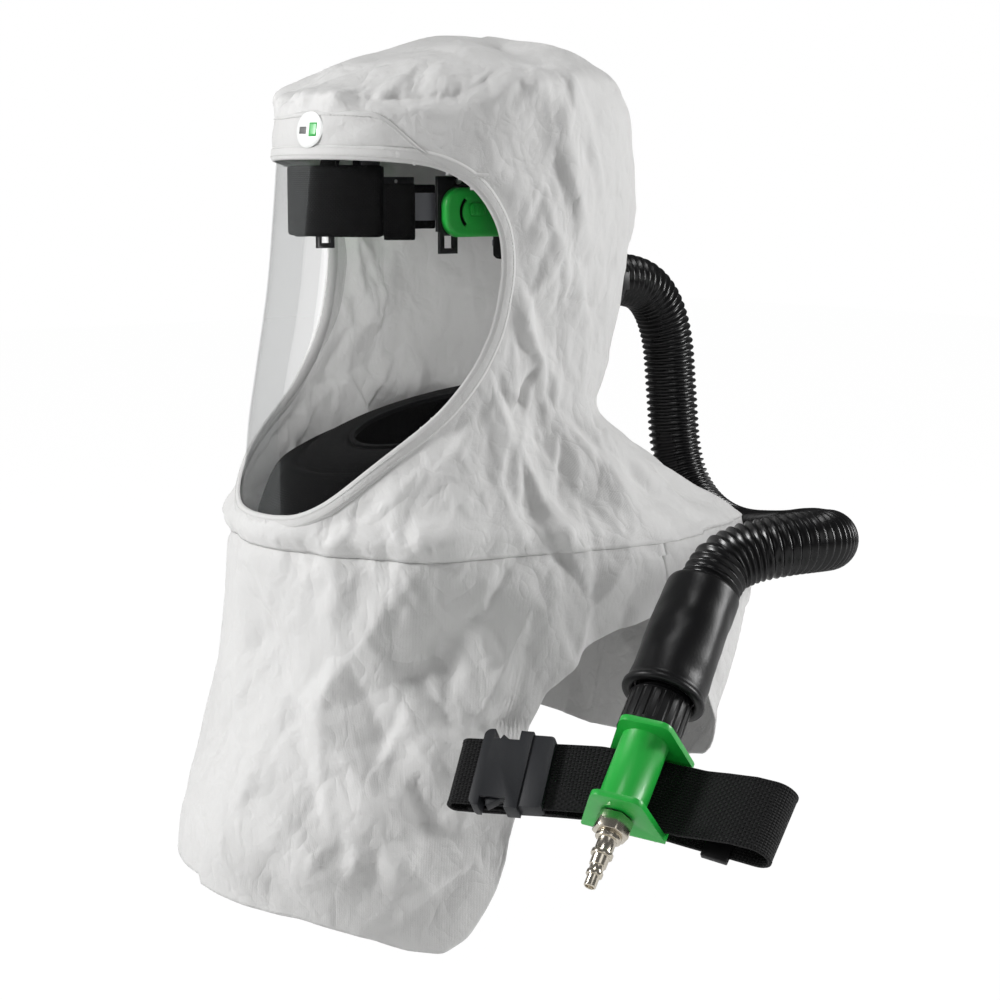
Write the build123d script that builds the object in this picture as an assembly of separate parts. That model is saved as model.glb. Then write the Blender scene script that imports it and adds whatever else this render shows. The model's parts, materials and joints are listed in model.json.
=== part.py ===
from build123d import *
import math
import os

# Supplied-air hood respirator. Millimetres, +Z up, origin at the centre of the headband.
# The wearer faces -Y and the wearer's left hand is at +X.

# Clearances
air = 0.3                # between soft or curved neighbours
running = 0.05           # radial clearance of a turning or sliding fit

# Headband
band_half_width = 78
band_half_depth = 98
band_height = 20
band_wall = 2
rear_corner = 50
rear_gap = 14            # half the opening behind the head, under the ratchet

# Hood and cape
fabric = 1.5
lens_wall = 0.8
binding_wall = 2.2
binding_reach = 6        # half the binding's width
brow_band_height = 28
label_radius = 16
neck_height = -250       # seam between the hood and the cape
front_hem = -530
rear_hem = -440
rear_split = 90          # seam between the front and the rear of the cape
arch_top = -300
arch_front = -48
arch_rear = 152
visor_top = 36
visor_bottom = -227
visor_half_width = 115
neck_half_width = 58     # opening of the inner collar
neck_half_depth = 68

# Air port at the back of the hood
port_height = -62
port_face = 166.6        # inner face of the outer flange
flange_wall = 3
flange_radius = 34
screw_radius = 1.5
hose_radius = 22
hose_bore = 19
cuff_radius = 23
hose_start = 186
duct_width = 40
duct_depth = 14
duct_wall = 1.5

# Ratchet at the nape
gear_module = 1.25
gear_teeth = 12
ratchet_height = -20
tail_travel = 20
tail_wall = 2
tail_height = 7
knob_radius = 18
housing_half_width = 26

# Side locks
bracket_wall = 3
lock_length = 90
lock_height = 36
lock_depth = 8
lock_wall = 1.6
button_length = 14
button_width = 9
button_travel = 2

# Valve, placed by its centre, its axis and the run of the belt
valve_centre = Vector(336, -80, -361)
valve_axis = Vector(-0.274, 0.673, 0.687)
belt_run = Vector(0.885, 0.457, -0.095)
valve_radius = 16
valve_bore = 9
inlet_bore = 6
seat_height = -16        # shelf that the poppet closes on
outlet_bore = 8
plate_gap = 52.6         # between the two green plates
plate_wall = 4
plate_back = 20
spigot_length = 14
spigot_radius = 15
nut_radius = 21.5
nut_length = 27
sleeve_start = 60
sleeve_length = 90
sleeve_radius = 27.5
hex_width = 22
hex_length = 12
nipple_length = 38
nipple_radius = 4

# Belt
web_width = 50
web_wall = 2
front_run = 17           # near face of the front run, behind the valve's axis
back_run = 27
fold_left = -98          # ends of the flattened loop, each measured in its own half
fold_right = 72
pivot_reach = 30         # the belt bends down on both sides of the valve
left_droop = 9
right_droop = 4
buckle_split = -46       # face where the two halves of the buckle meet
buckle_length = 34
buckle_half_height = 29
buckle_front = 10.5
buckle_back = 24.5
prong_root = 19
prong_length = 26

# Stations of the hood and the cape: height, ease in front, centre of the front curve,
# ease at the side, ease behind, radius of the rear corners. Ease is measured from the headband.
hood_stations = [
    (128, -94, 44, -42, -9, 34),
    (121, -56, 42, -12, 23, 60),
    (108, -20, 36, 12, 45, 84),
    (90, 10, 28, 32, 56, 100),
    (55, 17, 30, 40, 66, 106),
    (0, 23, 29, 43, 70, 110),
    (-60, 30, 24, 44, 66, 110),
    (-120, 42, 15, 42, 60, 108),
    (-160, 50, 12, 42, 50, 104),
    (-200, 52, 30, 57, 86, 90),
    (neck_height, 56, 30, 82, 138, 75),
]
cape_stations = [
    (neck_height, 56, 30, 82, 138, 75),
    (neck_height - 26, 58, 30, 92, 138, 75),
    (-330, 64, 30, 96, 116, 78),
    (-400, 80, 26, 98, 86, 80),
    (-450, 102, 24, 100, 70, 80),
    (front_hem, 114, 20, 102, 52, 80),
]

# Route of the breathing hose between its straight ends
hose_points = [
    (0, 216, port_height),
    (-1, 243, -79),
    (-1, 258, -112),
    (0, 262, -160),
    (4, 265, -222),
    (26, 269, -260),
    (72, 269, -277),
    (146, 253, -268),
    (213, 212, -252),
    (266, 172, -243),
    (301, 138, -235),
    (314, 111, -231),
    (310, 81, -231),
    (295, 54, -237),
]

os.makedirs("parts", exist_ok=True)
valve_plane = Plane(origin=valve_centre, x_dir=belt_run, z_dir=valve_axis)
valve_place = valve_plane.location
left_place = valve_place * Pos(-pivot_reach, 0, 0) * Rot(0, -left_droop, 0)
right_place = valve_place * Pos(pivot_reach, 0, 0) * Rot(0, right_droop, 0)


def save(name, shape):
    solids = list(shape.solids())
    export_step(Compound(children=solids) if len(solids) > 1 else solids[0], "parts/" + name + ".step")


def tube(outer, inner, low, high):
    """A round tube along Z between two heights."""
    wall = Pos(0, 0, (low + high) / 2) * Cylinder(outer, high - low)
    if inner > 0:
        wall -= Pos(0, 0, (low + high) / 2) * Cylinder(inner, high - low + 2)
    return wall


def block(low, high):
    """A box between two corners."""
    size = [b - a for a, b in zip(low, high)]
    middle = [(a + b) / 2 for a, b in zip(low, high)]
    return Pos(*middle) * Box(*size)


def along_y(shape):
    """Turns a shape made along Z to lie along +Y."""
    return Rot(-90, 0, 0) * shape


# Hood

def section(station, inset=0.0, lift=0.0):
    height, front, centre, side, back, corner = station
    width = band_half_width + side - inset
    nose = -band_half_depth - front + inset
    rear = band_half_depth + back - inset
    radius = corner - inset
    outline = Wire([
        EllipticalCenterArc((0, centre), width, centre - nose, 180, arc_size=180),
        Line((width, centre), (width, rear - radius)),
        CenterArc((width - radius, rear - radius), radius, 0, 90),
        Line((width - radius, rear), (radius - width, rear)),
        CenterArc((radius - width, rear - radius), radius, 90, 90),
        Line((-width, rear - radius), (-width, centre)),
    ])
    return Pos(0, 0, height + lift) * make_face(outline)


def bell(stations, inset=0.0):
    faces = [section(row, inset) for row in stations]
    if stations[0][0] > 0 and inset > 0:
        faces[0] = section(stations[0], inset, -inset)
    return loft(faces, ruled=True)


def skin(stations, outer, inner):
    return bell(stations, outer) - bell(stations, inner)


def visor_outline(grow=0.0):
    half = visor_half_width
    drop = visor_bottom
    side = FilletPolyline(
        (0, visor_top), (half, visor_top), (half, drop + 122), (half - 25, drop + 51),
        (half - 63, drop), (0, drop), radius=[40, 90, 80, 40],
    )
    edges = list(side.edges())
    edges += [mirror(edge, Plane.YZ).edge() for edge in edges]
    face = make_face(Wire(edges))
    if grow:
        face = offset(face, amount=grow)
    return face


def visor_prism(grow=0.0):
    """The visor's outline carried from behind the temples to in front of the face."""
    behind = 16
    return extrude(Plane.XZ.offset(-behind) * visor_outline(grow), band_half_depth + 100 + behind)


def at_port(shape):
    return Pos(0, 0, port_height) * along_y(shape)


def port_screws(radius, low, high):
    """Six round bars on the flange's screw circle."""
    place = (flange_radius + cuff_radius + 2) / 2
    return [at_port(Rot(0, 0, 60 * turn + 30) * Pos(place, 0, 0) * tube(radius, 0, low, high)) for turn in range(6)]


def hood():
    shell = skin(hood_stations, 0, fabric) - visor_prism()
    shell -= at_port(tube(cuff_radius + 4.5, 0, 130, 190))
    for hole in port_screws(screw_radius + 0.4, 130, 190):
        shell -= hole
    return shell


def visor():
    inset = fabric + air
    return (bell(hood_stations, inset) & visor_prism(3)) - bell(hood_stations, inset + lens_wall)


def binding():
    band = bell(hood_stations, -air - binding_wall) & visor_prism(binding_reach)
    return band - bell(hood_stations, -air) - visor_prism(1 - binding_reach)


def brow_band():
    low = visor_top + binding_reach + 1
    zone = block((-104, -200, low), (104, -30, low + brow_band_height))
    return skin(hood_stations[2:7], -air - 1.2, -air) & zone


def brow_label():
    middle = visor_top + binding_reach + 1 + brow_band_height / 2 + 1
    disc = Pos(18, -100, middle) * along_y(tube(label_radius - 3, 0, -60, 60))
    return skin(hood_stations[2:7], -2 * air - 2.0, -2 * air - 1.2) & disc


def cape(front):
    shell = skin(cape_stations, 0, fabric)
    arch = Wire([
        Line((arch_front, front_hem - 40), (arch_front, -390)),
        Spline((arch_front, -390), (arch_front + 36, -348), (rear_split - 20, arch_top),
               (rear_split + 30, arch_top - 14), (arch_rear, -390)),
        Line((arch_rear, -390), (arch_rear, front_hem - 40)),
        Line((arch_rear, front_hem - 40), (arch_front, front_hem - 40)),
    ])
    shell -= extrude(Plane.YZ * make_face(arch), 400, both=True)
    if front:
        shell &= block((-400, -400, front_hem - 10), (400, rear_split, neck_height))
        tilt = Pos(0, 0, front_hem + 22) * Rot(0, 7, 0) * block((-400, -400, -200), (400, 400, 0))
        return shell - tilt
    return shell & block((-400, rear_split, rear_hem), (400, 400, neck_height))


def inner_collar():
    low = Pos(0, 39, neck_height + 2) * Ellipse(band_half_width + 74, 190.5)
    tilt = Pos(0, 10, -168) * Rot(14, 0, 0)
    inner_low = Pos(0, 39, neck_height + 2) * Ellipse(band_half_width + 72, 188.5)
    outer = loft([tilt * Ellipse(92, 115), low], ruled=True)
    inner = loft([tilt * Pos(0, 0, -2) * Ellipse(90, 113), inner_low], ruled=True)
    hole = tilt * extrude(Ellipse(neck_half_width, neck_half_depth), 20, both=True)
    return outer - inner - hole


def collar_elastic():
    tilt = Pos(0, 10, -168) * Rot(14, 0, 0)
    ring = extrude(Ellipse(neck_half_width + 4, neck_half_depth + 4), 4)
    ring -= extrude(Ellipse(neck_half_width, neck_half_depth), 4)
    return tilt * ring


# Air port and duct

def inlet_flange():
    rim = at_port(tube(flange_radius, cuff_radius + air, port_face, port_face + flange_wall))
    for hole in port_screws(screw_radius + running, port_face - 5, port_face + 10):
        rim -= hole
    return rim


def flange_screws():
    face = port_face + flange_wall
    shanks = port_screws(screw_radius, 150, face + 1)
    heads = port_screws(1.8 * screw_radius, face, face + 2)
    return Compound(children=[shank + head for shank, head in zip(shanks, heads)])


def inlet_backing():
    ring = at_port(tube(flange_radius, cuff_radius + 3.5, 150, 153))
    for hole in port_screws(screw_radius + running, 140, 160):
        ring -= hole
    return ring


def inlet_lock_ring():
    ring = tube(31, cuff_radius + running, 172.2, 182)
    for turn in range(3):
        ring += Rot(0, 0, 120 * turn) * block((29, -7, 172.2), (35, 7, 182))
    for turn in range(24):
        ring -= Rot(0, 0, 15 * turn + 7.5) * Pos(31.4, 0, 177) * Cylinder(1, 12)
    return at_port(ring)


def hose_top_cuff():
    return at_port(tube(cuff_radius, hose_bore, 136, hose_start))


def inlet_elbow():
    cup = at_port(tube(cuff_radius + 3.2, 0, 128, 158) - tube(cuff_radius + air, 0, 130, 160))
    neck = block((-duct_width / 2, 128, port_height), (duct_width / 2, 128 + duct_depth, -30))
    hollow = block((-duct_width / 2 + 1.5, 129.5, port_height), (duct_width / 2 - 1.5, 126.5 + duct_depth, -20))
    return cup + (neck - at_port(tube(cuff_radius + air, 0, 100, 170))) - hollow


def air_duct():
    line = FilletPolyline((135, -30), (135, 42), (88, 106), (0, 109), (-62, 86), (-86, 62), radius=22)
    path = Plane.YZ * line
    start = Plane(origin=(0, 135, -30), x_dir=(1, 0, 0), z_dir=(0, 0, 1))
    outer = sweep(start * Rectangle(duct_width, duct_depth), path)
    inner = sweep(start * Rectangle(duct_width - 2 * duct_wall, duct_depth - 2 * duct_wall), path)
    return outer - inner


# Head harness

def band_outline(grow):
    width = band_half_width + grow
    depth = band_half_depth + grow
    radius = rear_corner + grow
    return make_face(Wire([
        EllipticalCenterArc((0, 0), width, depth, 180, arc_size=180),
        Line((width, 0), (width, depth - radius)),
        CenterArc((width - radius, depth - radius), radius, 0, 90),
        Line((width - radius, depth), (radius - width, depth)),
        CenterArc((radius - width, depth - radius), radius, 90, 90),
        Line((-width, depth - radius), (-width, 0)),
    ]))


def band_layer(inner, outer, low, high):
    ring = extrude(band_outline(outer), high - low) - extrude(band_outline(inner), high - low)
    return Pos(0, 0, low) * ring


def wedge(start, end, reach=160):
    """A sector seen from above. Angles are measured from the front towards the wearer's left."""
    points = [(0, 0)]
    for step in range(7):
        angle = math.radians(start + (end - start) * step / 6)
        points.append((reach * math.sin(angle), -reach * math.cos(angle)))
    return extrude(make_face(Polyline(*points, close=True)), 100, both=True)


def headband_strap():
    ring = band_layer(0, band_wall, -band_height / 2, band_height / 2)
    return ring - block((-rear_gap, 50, -30), (rear_gap, 200, 30))


def brow_pad():
    pad = band_layer(band_wall + air, band_wall + 10, -22, 30) & wedge(-36, 36)
    return pad


def sweatband():
    return band_layer(-6, -air, -16, 16) & wedge(-60, 60)


def temple_pads():
    wrap = band_layer(band_wall + air, band_wall + 9, -24, 17)
    return wrap & (wedge(37, 50) + wedge(-50, -37))


def bracket_face():
    return band_half_width + band_wall + air


def side_bracket(side):
    face = bracket_face()
    plate = block((face, -48, -18), (face + bracket_wall, 48, 22))
    arm = block((face, -10, 22), (face + bracket_wall, 10, 40))
    loop = block((face, -46, -34), (face + bracket_wall, -30, -17)) - block((face - 1, -42, -30), (face + 9, -34, -21))
    bracket = plate + arm + loop
    for y in (-30, 30):
        bracket -= Pos(face + 2, y, 18.5) * Rot(0, 90, 0) * Cylinder(1.6, 12)
    return bracket if side > 0 else mirror(bracket, Plane.YZ)


def bracket_screws():
    face = bracket_face()
    screws = []
    for y in (-30, 30):
        screw = Pos(face + 1.5, y, 18.5) * Rot(0, 90, 0) * Cylinder(1.5, bracket_wall + 0.02)
        screw += Pos(face + bracket_wall + 1, y, 18.5) * Rot(0, 90, 0) * Cylinder(2.2, 2)
        screws += [screw, mirror(screw, Plane.YZ)]
    return Compound(children=screws)


def lock_cover(side):
    face = bracket_face() + bracket_wall
    outline = Pos(0, -2) * RectangleRounded(lock_length, lock_height, 14)
    slab = extrude(Plane.YZ.offset(face) * outline, lock_depth)
    slab = fillet(slab.faces().sort_by(Axis.X)[-1].edges(), 3)
    hollow = Pos(0, -2) * RectangleRounded(lock_length - 2 * lock_wall, lock_height - 2 * lock_wall, 12)
    slab -= extrude(Plane.YZ.offset(face - 1) * hollow, lock_depth - lock_wall + 1)
    window = Pos(-18, 0) * RectangleRounded(button_length + 0.6, button_width + 0.6, 3)
    slab -= extrude(Plane.YZ.offset(face) * window, 20)
    slot = make_face(Wire([
        CenterArc((-20, -2), 14, 130, 100), CenterArc((-20, -2), 11, 130, 100),
        Line(CenterArc((-20, -2), 14, 130, 100) @ 0, CenterArc((-20, -2), 11, 130, 100) @ 0),
        Line(CenterArc((-20, -2), 14, 130, 100) @ 1, CenterArc((-20, -2), 11, 130, 100) @ 1),
    ]))
    slab -= extrude(Plane.YZ.offset(face) * slot, 20)
    slab = Pos(0, 0, -2) * slab
    return slab if side > 0 else mirror(slab, Plane.YZ)


def lock_button(side):
    face = bracket_face() + bracket_wall
    top = face + lock_depth + 1.5
    low = face + 2 * button_travel
    cap = Plane.YZ.offset(low) * Pos(-18, 0) * RectangleRounded(button_length, button_width, 2.7)
    button = extrude(cap, top - low)
    foot = Plane.YZ.offset(low) * Pos(-18, 0) * RectangleRounded(button_length + 4, button_width + 4, 3)
    button += extrude(foot, lock_depth - lock_wall - 2 * button_travel - air)
    for rib in range(4):
        y = -18 + (rib - 1.5) * 3
        button += block((top, y - 0.5, -3.2), (top + 0.7, y + 0.5, 3.2))
    button = Pos(0, 0, -2) * button
    return button if side > 0 else mirror(button, Plane.YZ)


def coil_spring(radius, wire, length, turns):
    helix = Helix(pitch=length / turns, height=length, radius=radius)
    start = Plane(origin=helix @ 0, z_dir=helix % 0)
    return sweep(start * Circle(wire), helix)


def button_spring(side):
    face = bracket_face() + bracket_wall
    length = 2 * button_travel - 1.2
    spring = Pos(face + 0.6, -18, -2) * Rot(0, 90, 0) * coil_spring(3, 0.3, length, 3)
    return spring if side > 0 else mirror(spring, Plane.YZ)


def crown_frame():
    """Front to back arch over the head."""
    outer = extrude(Plane.YZ * Ellipse(93, 95), 11, both=True)
    inner = extrude(Plane.YZ * Ellipse(90.5, 92.5), 11, both=True)
    arch = (outer - inner) & block((-20, -90, 26), (20, 86, 120))
    for y in (-50, -20, 20, 50):
        arch -= Pos(0, y, 80) * Cylinder(2, 60)
    return arch


def crown_cross_strap():
    """Side to side arch, under the front to back one."""
    width = bracket_face() - air
    outer = extrude(Plane.XZ * Ellipse(width, 91.7), 9, both=True)
    inner = extrude(Plane.XZ * Ellipse(width - 2.5, 89.2), 9, both=True)
    return (outer - inner) & block((-100, -20, 10), (100, 20, 120))


def crown_pad():
    dome = extrude(Plane.YZ * Ellipse(75, 87.2), 14, both=True) - extrude(Plane.YZ * Ellipse(70, 80), 17, both=True)
    return dome & block((-30, -34, 40), (30, 34, 120))


# Ratchet at the nape

def pitch_radius():
    return gear_module * gear_teeth / 2


def tail_face():
    return band_half_depth + band_wall + air


def ratchet_pinion():
    pitch = pitch_radius()
    tip = pitch + 0.9 * gear_module
    root = pitch - 1.25 * gear_module
    half_pitch = 0.78 * math.pi / (2 * gear_teeth)
    points = []
    for tooth in range(gear_teeth):
        middle = 2 * math.pi * (tooth + 0.5) / gear_teeth
        for radius, half in ((root, 1.5 * half_pitch), (tip, 0.42 * half_pitch), (tip, -0.42 * half_pitch),
                             (root, -1.5 * half_pitch)):
            points.append((radius * math.sin(middle - half), radius * math.cos(middle - half)))
    wheel = extrude(make_face(Polyline(*points, close=True)), tail_wall)
    stem = tube(3.5, 0, tail_wall, tail_wall + 8)
    return Pos(0, tail_face(), ratchet_height) * along_y(wheel + stem)


def rack_tail(side):
    """A straight tail that laps the strap. The left one runs over the pinion, the right one under it."""
    pitch = pitch_radius()
    base = pitch + 1.2 * gear_module
    tail = block((-22, 0, base), (44, tail_wall, base + tail_height - 2))
    spacing = math.pi * gear_module
    for tooth in range(-5, 9):
        x = tooth * spacing
        wide = 0.78 * spacing / 4 + 0.36 * gear_module
        thin = 0.78 * spacing / 4 - 0.36 * gear_module
        profile = make_face(Polyline(
            (x - wide, base + 0.1), (x - thin, pitch - 0.9 * gear_module),
            (x + thin, pitch - 0.9 * gear_module), (x + wide, base + 0.1), close=True))
        tail += extrude(Plane.XZ * profile, -tail_wall)
    if side < 0:
        tail = Rot(0, 180, 0) * tail
    return Pos(0, tail_face(), ratchet_height) * tail


def ratchet_housing():
    face = tail_face()
    low = ratchet_height - 20
    high = ratchet_height + 20
    plate = block((-housing_half_width, face - 2.3 - air, low), (housing_half_width, face - air, high))
    walls = block((-housing_half_width, face - air, high - 2.5), (housing_half_width, face + tail_wall + air, high))
    walls += block((-housing_half_width, face - air, low), (housing_half_width, face + tail_wall + air, low + 2.5))
    return plate + walls - block((-40, face - 9, -10), (-rear_gap, face - air, 11)) \
        - block((rear_gap, face - 9, -10), (40, face - air, 11))


def ratchet_cover():
    face = tail_face() + tail_wall + air
    cover = block((-housing_half_width, face, ratchet_height - 20), (housing_half_width, face + 2.5, ratchet_height + 20))
    hub = Pos(0, face + 1, ratchet_height) * along_y(Cylinder(3.5 + running, 20))
    return cover - hub


def ratchet_knob():
    face = tail_face() + tail_wall + air + 2.5 + air
    knob = tube(knob_radius, 0, face, face + 9)
    for turn in range(18):
        knob -= Rot(0, 0, 20 * turn) * Pos(knob_radius + 0.6, 0, face + 5) * Cylinder(1.8, 12)
    knob -= tube(knob_radius - 6, 4.5, face + 7, face + 10)
    socket = tube(3.5, 0, face - 1, tail_face() + tail_wall + 8)
    return Pos(0, 0, ratchet_height) * along_y(knob - socket)


def nape_pad():
    face = tail_face() - 2.3 - 2 * air
    pad = block((-30, face - 8, ratchet_height - 24), (30, face, ratchet_height + 9))
    return fillet(pad.edges().filter_by(Axis.Y), 6)


# Valve

def plate_outline():
    corners = Polyline((-13, -25), (20, -25), (29, plate_back), (-29, plate_back), close=True)
    face = make_face(corners)
    return fillet(face.vertices().sort_by(Axis.Y)[:2], 8)


def valve_body():
    half = plate_gap / 2
    body = tube(valve_radius, 0, -half, half)
    for low in (half, -half - plate_wall):
        body += Pos(0, 0, low) * extrude(plate_outline(), plate_wall)
    top = half + plate_wall
    body += tube(spigot_radius, 0, top, top + spigot_length)
    body -= tube(outlet_bore, 0, 20, top + spigot_length + 1)
    body -= tube(valve_bore, 0, seat_height, 20)
    body -= tube(inlet_bore, 0, -half - plate_wall - 1, seat_height)
    for x in (-22, 22):
        for z in (-half - plate_wall / 2, half + plate_wall / 2):
            body -= Pos(x, plate_back - 4, z) * along_y(Cylinder(1.2, 10))
    return valve_place * body


def inner_valve_parts():
    save("silencer", valve_place * tube(valve_bore - 0.2, 5, 2, 20))
    save("flow_orifice", valve_place * tube(valve_bore - 0.1, 2, -2, 2))
    poppet = tube(7.5, 0, seat_height + running, seat_height + 2.5) + tube(2.5, 0, seat_height + 2.5, -10)
    save("check_poppet", valve_place * poppet)
    save("poppet_spring", valve_place * Pos(0, 0, -12.8) * coil_spring(4.2, 0.5, 10, 4))


def hex_fitting():
    half = plate_gap / 2
    top = -half - plate_wall - 1.2
    nut = Pos(0, 0, top - hex_length) * extrude(RegularPolygon(hex_width / 2, 6, major_radius=False), hex_length)
    nut &= tube(hex_width / 2 * 1.11, 0, top - hex_length, top)
    thread = tube(inlet_bore - running, 0, top, seat_height - 1)
    return valve_place * (nut + thread - tube(3.5, 0, top - hex_length - 1, -10))


def seal_washer():
    low = -plate_gap / 2 - plate_wall
    return valve_place * tube(10, inlet_bore, low - 1.2, low)


def quick_nipple():
    top = -plate_gap / 2 - plate_wall - 1.2 - hex_length
    steps = [(8.5, 4), (6, 9), (7.2, 3), (5.6, 7), (4.6, 4), (5.4, 3)]
    body = None
    height = top
    for radius, length in steps:
        ring = tube(radius, 0, height - length, height)
        body = ring if body is None else body + ring
        height -= length
    body += tube(nipple_radius, 0, top - nipple_length, height)
    body = chamfer(body.faces().sort_by(Axis.Z)[0].edges(), 0.6)
    return valve_place * (body - tube(2.8, 0, top - nipple_length - 1, top + 1))


def belt_plate():
    half = plate_gap / 2 + plate_wall
    plate = block((-29, plate_back, -half), (29, plate_back + 3, half))
    for x in (-22, 22):
        for z in (-half + plate_wall / 2, half - plate_wall / 2):
            plate -= Pos(x, plate_back, z) * along_y(Cylinder(1.5, 12))
    return valve_place * plate


def belt_plate_screws():
    half = plate_gap / 2 + plate_wall / 2
    screw = tube(1.15, 0, plate_back - 8, plate_back + 3) + tube(1.9, 0, plate_back + 3, plate_back + 3.8)
    places = [(x, z) for x in (-22, 22) for z in (-half, half)]
    return Compound(children=[valve_place * Pos(x, 0, z) * along_y(screw) for x, z in places])


def spigot_top():
    return plate_gap / 2 + plate_wall + spigot_length


def swivel_tail():
    top = spigot_top() + 1
    tail = tube(14.5, 0, top, top + 3) + tube(12, 0, top + 3, sleeve_start) + tube(hose_bore - air, 0, sleeve_start, 96)
    return valve_place * (tail - tube(9, 0, top - 1, 100))


def coupling_o_ring():
    return valve_place * tube(13.5, 10, spigot_top(), spigot_top() + 1)


def coupling_nut():
    low = plate_gap / 2 + plate_wall + air
    seat = spigot_top() + 4 + air
    nut = tube(nut_radius, 0, low, low + nut_length)
    nut -= tube(spigot_radius + air, 0, low - 1, seat)
    nut -= tube(12 + running, 0, seat - 1, low + nut_length + 1)
    for turn in range(20):
        nut -= Rot(0, 0, 18 * turn) * Pos(nut_radius + 0.4, 0, low + 15) * Cylinder(1.5, nut_length - 5)
    return valve_place * nut


def hose_sleeve():
    top = sleeve_start + sleeve_length
    sleeve = tube(sleeve_radius, hose_radius + air, sleeve_start, top)
    sleeve += tube(sleeve_radius + 1.2, sleeve_radius - 1, sleeve_start, sleeve_start + 5)
    return valve_place * sleeve


def breathing_hose():
    low = valve_place.position + valve_axis * (sleeve_start + 6)
    turn = valve_place.position + valve_axis * (sleeve_start + sleeve_length + 14)
    points = [Vector(0, hose_start, port_height)] + [Vector(*p) for p in hose_points] + [turn, low]
    radii = []
    for before, corner, after in zip(points, points[1:], points[2:]):
        shorter = min((corner - before).length, (after - corner).length)
        angle = (corner - before).get_angle(after - corner)
        radii.append(0.45 * shorter / math.tan(math.radians(angle) / 2))
    line = FilletPolyline(*points, radius=radii)
    start = Plane(origin=points[0], x_dir=(1, 0, 0), z_dir=points[1] - points[0])
    ring = start * (Circle(hose_radius) - Circle(hose_bore))
    hose = sweep(ring, line)
    area = math.pi * (hose_radius ** 2 - hose_bore ** 2)
    print("hose length", round(line.length, 1), "volume ratio", round(hose.volume / (area * line.length), 4))
    print("hose radii", [round(r) for r in radii])
    return hose


# Belt

def web_hook(fold, low, high):
    """Two runs of webbing joined by a round fold at one end, seen along Z."""
    mid = (front_run + back_run + web_wall) / 2
    outer = (back_run + web_wall - front_run) / 2
    inner = outer - web_wall
    sign = 1 if fold > 0 else -1
    centre = fold - sign * outer
    bend = Pos(centre, mid) * (Circle(outer) - Circle(inner))
    bend &= Pos(centre + sign * outer, mid) * Rectangle(2 * outer, 3 * outer)
    runs = Sketch() + bend
    end = -sign * 4
    for y in (front_run, back_run):
        runs += Pos((centre + end) / 2, y + web_wall / 2) * Rectangle(abs(centre - end), web_wall)
    return Pos(0, 0, low) * extrude(runs, high - low)


def belt_webbing():
    half = web_width / 2
    left = web_hook(fold_left, -half, half)
    left -= block((buckle_split - buckle_length + 6, front_run - 1, -40), (buckle_split + 12, front_run + 4, 40))
    right = web_hook(fold_right, -half, half)
    middle = Sketch()
    for y in (front_run, back_run):
        middle += Pos(0, y + web_wall / 2) * Rectangle(2 * pivot_reach, web_wall)
    centre = Pos(0, 0, -half) * extrude(middle, web_width)
    tail = block((-84, back_run - web_wall, -half - 4), (-20, back_run, half - 4))
    return left_place * (left + tail) + right_place * right + valve_place * centre


def belt_keeper():
    half_web = web_width / 2
    outer = block((24, back_run - 1.6, -28.5), (42, back_run + web_wall + 1.6, 28.5))
    slot = block((20, back_run - 0.1, -half_web - 0.1), (50, back_run + web_wall + 0.1, half_web + 0.1))
    return right_place * (outer - slot)


def buckle_female():
    half_web = web_width / 2
    left = buckle_split - buckle_length
    shell = block((left, buckle_front, -buckle_half_height), (buckle_split, buckle_back, buckle_half_height))
    shell = fillet(shell.edges().filter_by(Axis.Y).sort_by(Axis.X)[:2], 5)
    shell -= block((left + 7, buckle_front + 2, -buckle_half_height + 3), (buckle_split + 1, buckle_back - 2,
                                                                          buckle_half_height - 3))
    for z in (-buckle_half_height, buckle_half_height):
        shell -= block((buckle_split - 27, buckle_front - 1, z - 7), (buckle_split - 9, buckle_back + 1, z + 7))
    slot = block((left - 1, front_run - 0.1, -half_web - 0.2), (left + 6, front_run + web_wall + 0.1, half_web + 0.2))
    return left_place * (shell - slot)


def buckle_male():
    half_web = web_width / 2
    right = buckle_split + 16
    base = block((buckle_split, buckle_front + 1, -buckle_half_height + 2), (right, buckle_back - 1,
                                                                            buckle_half_height - 2))
    base = fillet(base.edges().filter_by(Axis.Y).sort_by(Axis.X)[-2:], 4)
    guide = block((buckle_split - 20, buckle_front + 4, -4), (buckle_split, buckle_back - 4, 4))
    slot = block((buckle_split + 12, front_run - 0.1, -half_web - 0.2), (right + 1, front_run + web_wall + 0.1,
                                                                           half_web + 0.2))
    body = base + guide - slot
    low = buckle_front + 3.5 - air
    high = buckle_back - 3.5 + air
    for z in (-prong_root, prong_root):
        body -= Pos(buckle_split + 4, 0, z) * along_y(tube(4 + air, 0, low, high))
        body -= block((buckle_split - 1, low, z - 5.5), (buckle_split + 3.2, high, z + 5.5))
        body += Pos(buckle_split + 4, 0, z) * along_y(tube(1.5, 0, buckle_front + 1, buckle_back - 1))
    return left_place * body


def buckle_prong(side):
    low = buckle_front + 3.5
    high = buckle_back - 3.5
    root = buckle_split + 4
    arm = block((root - prong_length, low, prong_root - 2.6), (root, high, prong_root + 2.6))
    tip = root - prong_length
    hook = Polyline((tip, prong_root - 2.6), (tip - 4, prong_root), (tip, prong_root + 8.5), (tip + 9, prong_root + 2),
                    close=True)
    arm += Pos(0, low, 0) * extrude(Plane.XZ * make_face(hook), low - high)
    arm += Pos(root, 0, prong_root) * along_y(tube(4, 0, low, high))
    arm -= Pos(root, 0, prong_root) * along_y(tube(1.5 + running, 0, low - 1, high + 1))
    return left_place * (arm if side > 0 else mirror(arm, Plane.XY))


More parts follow.
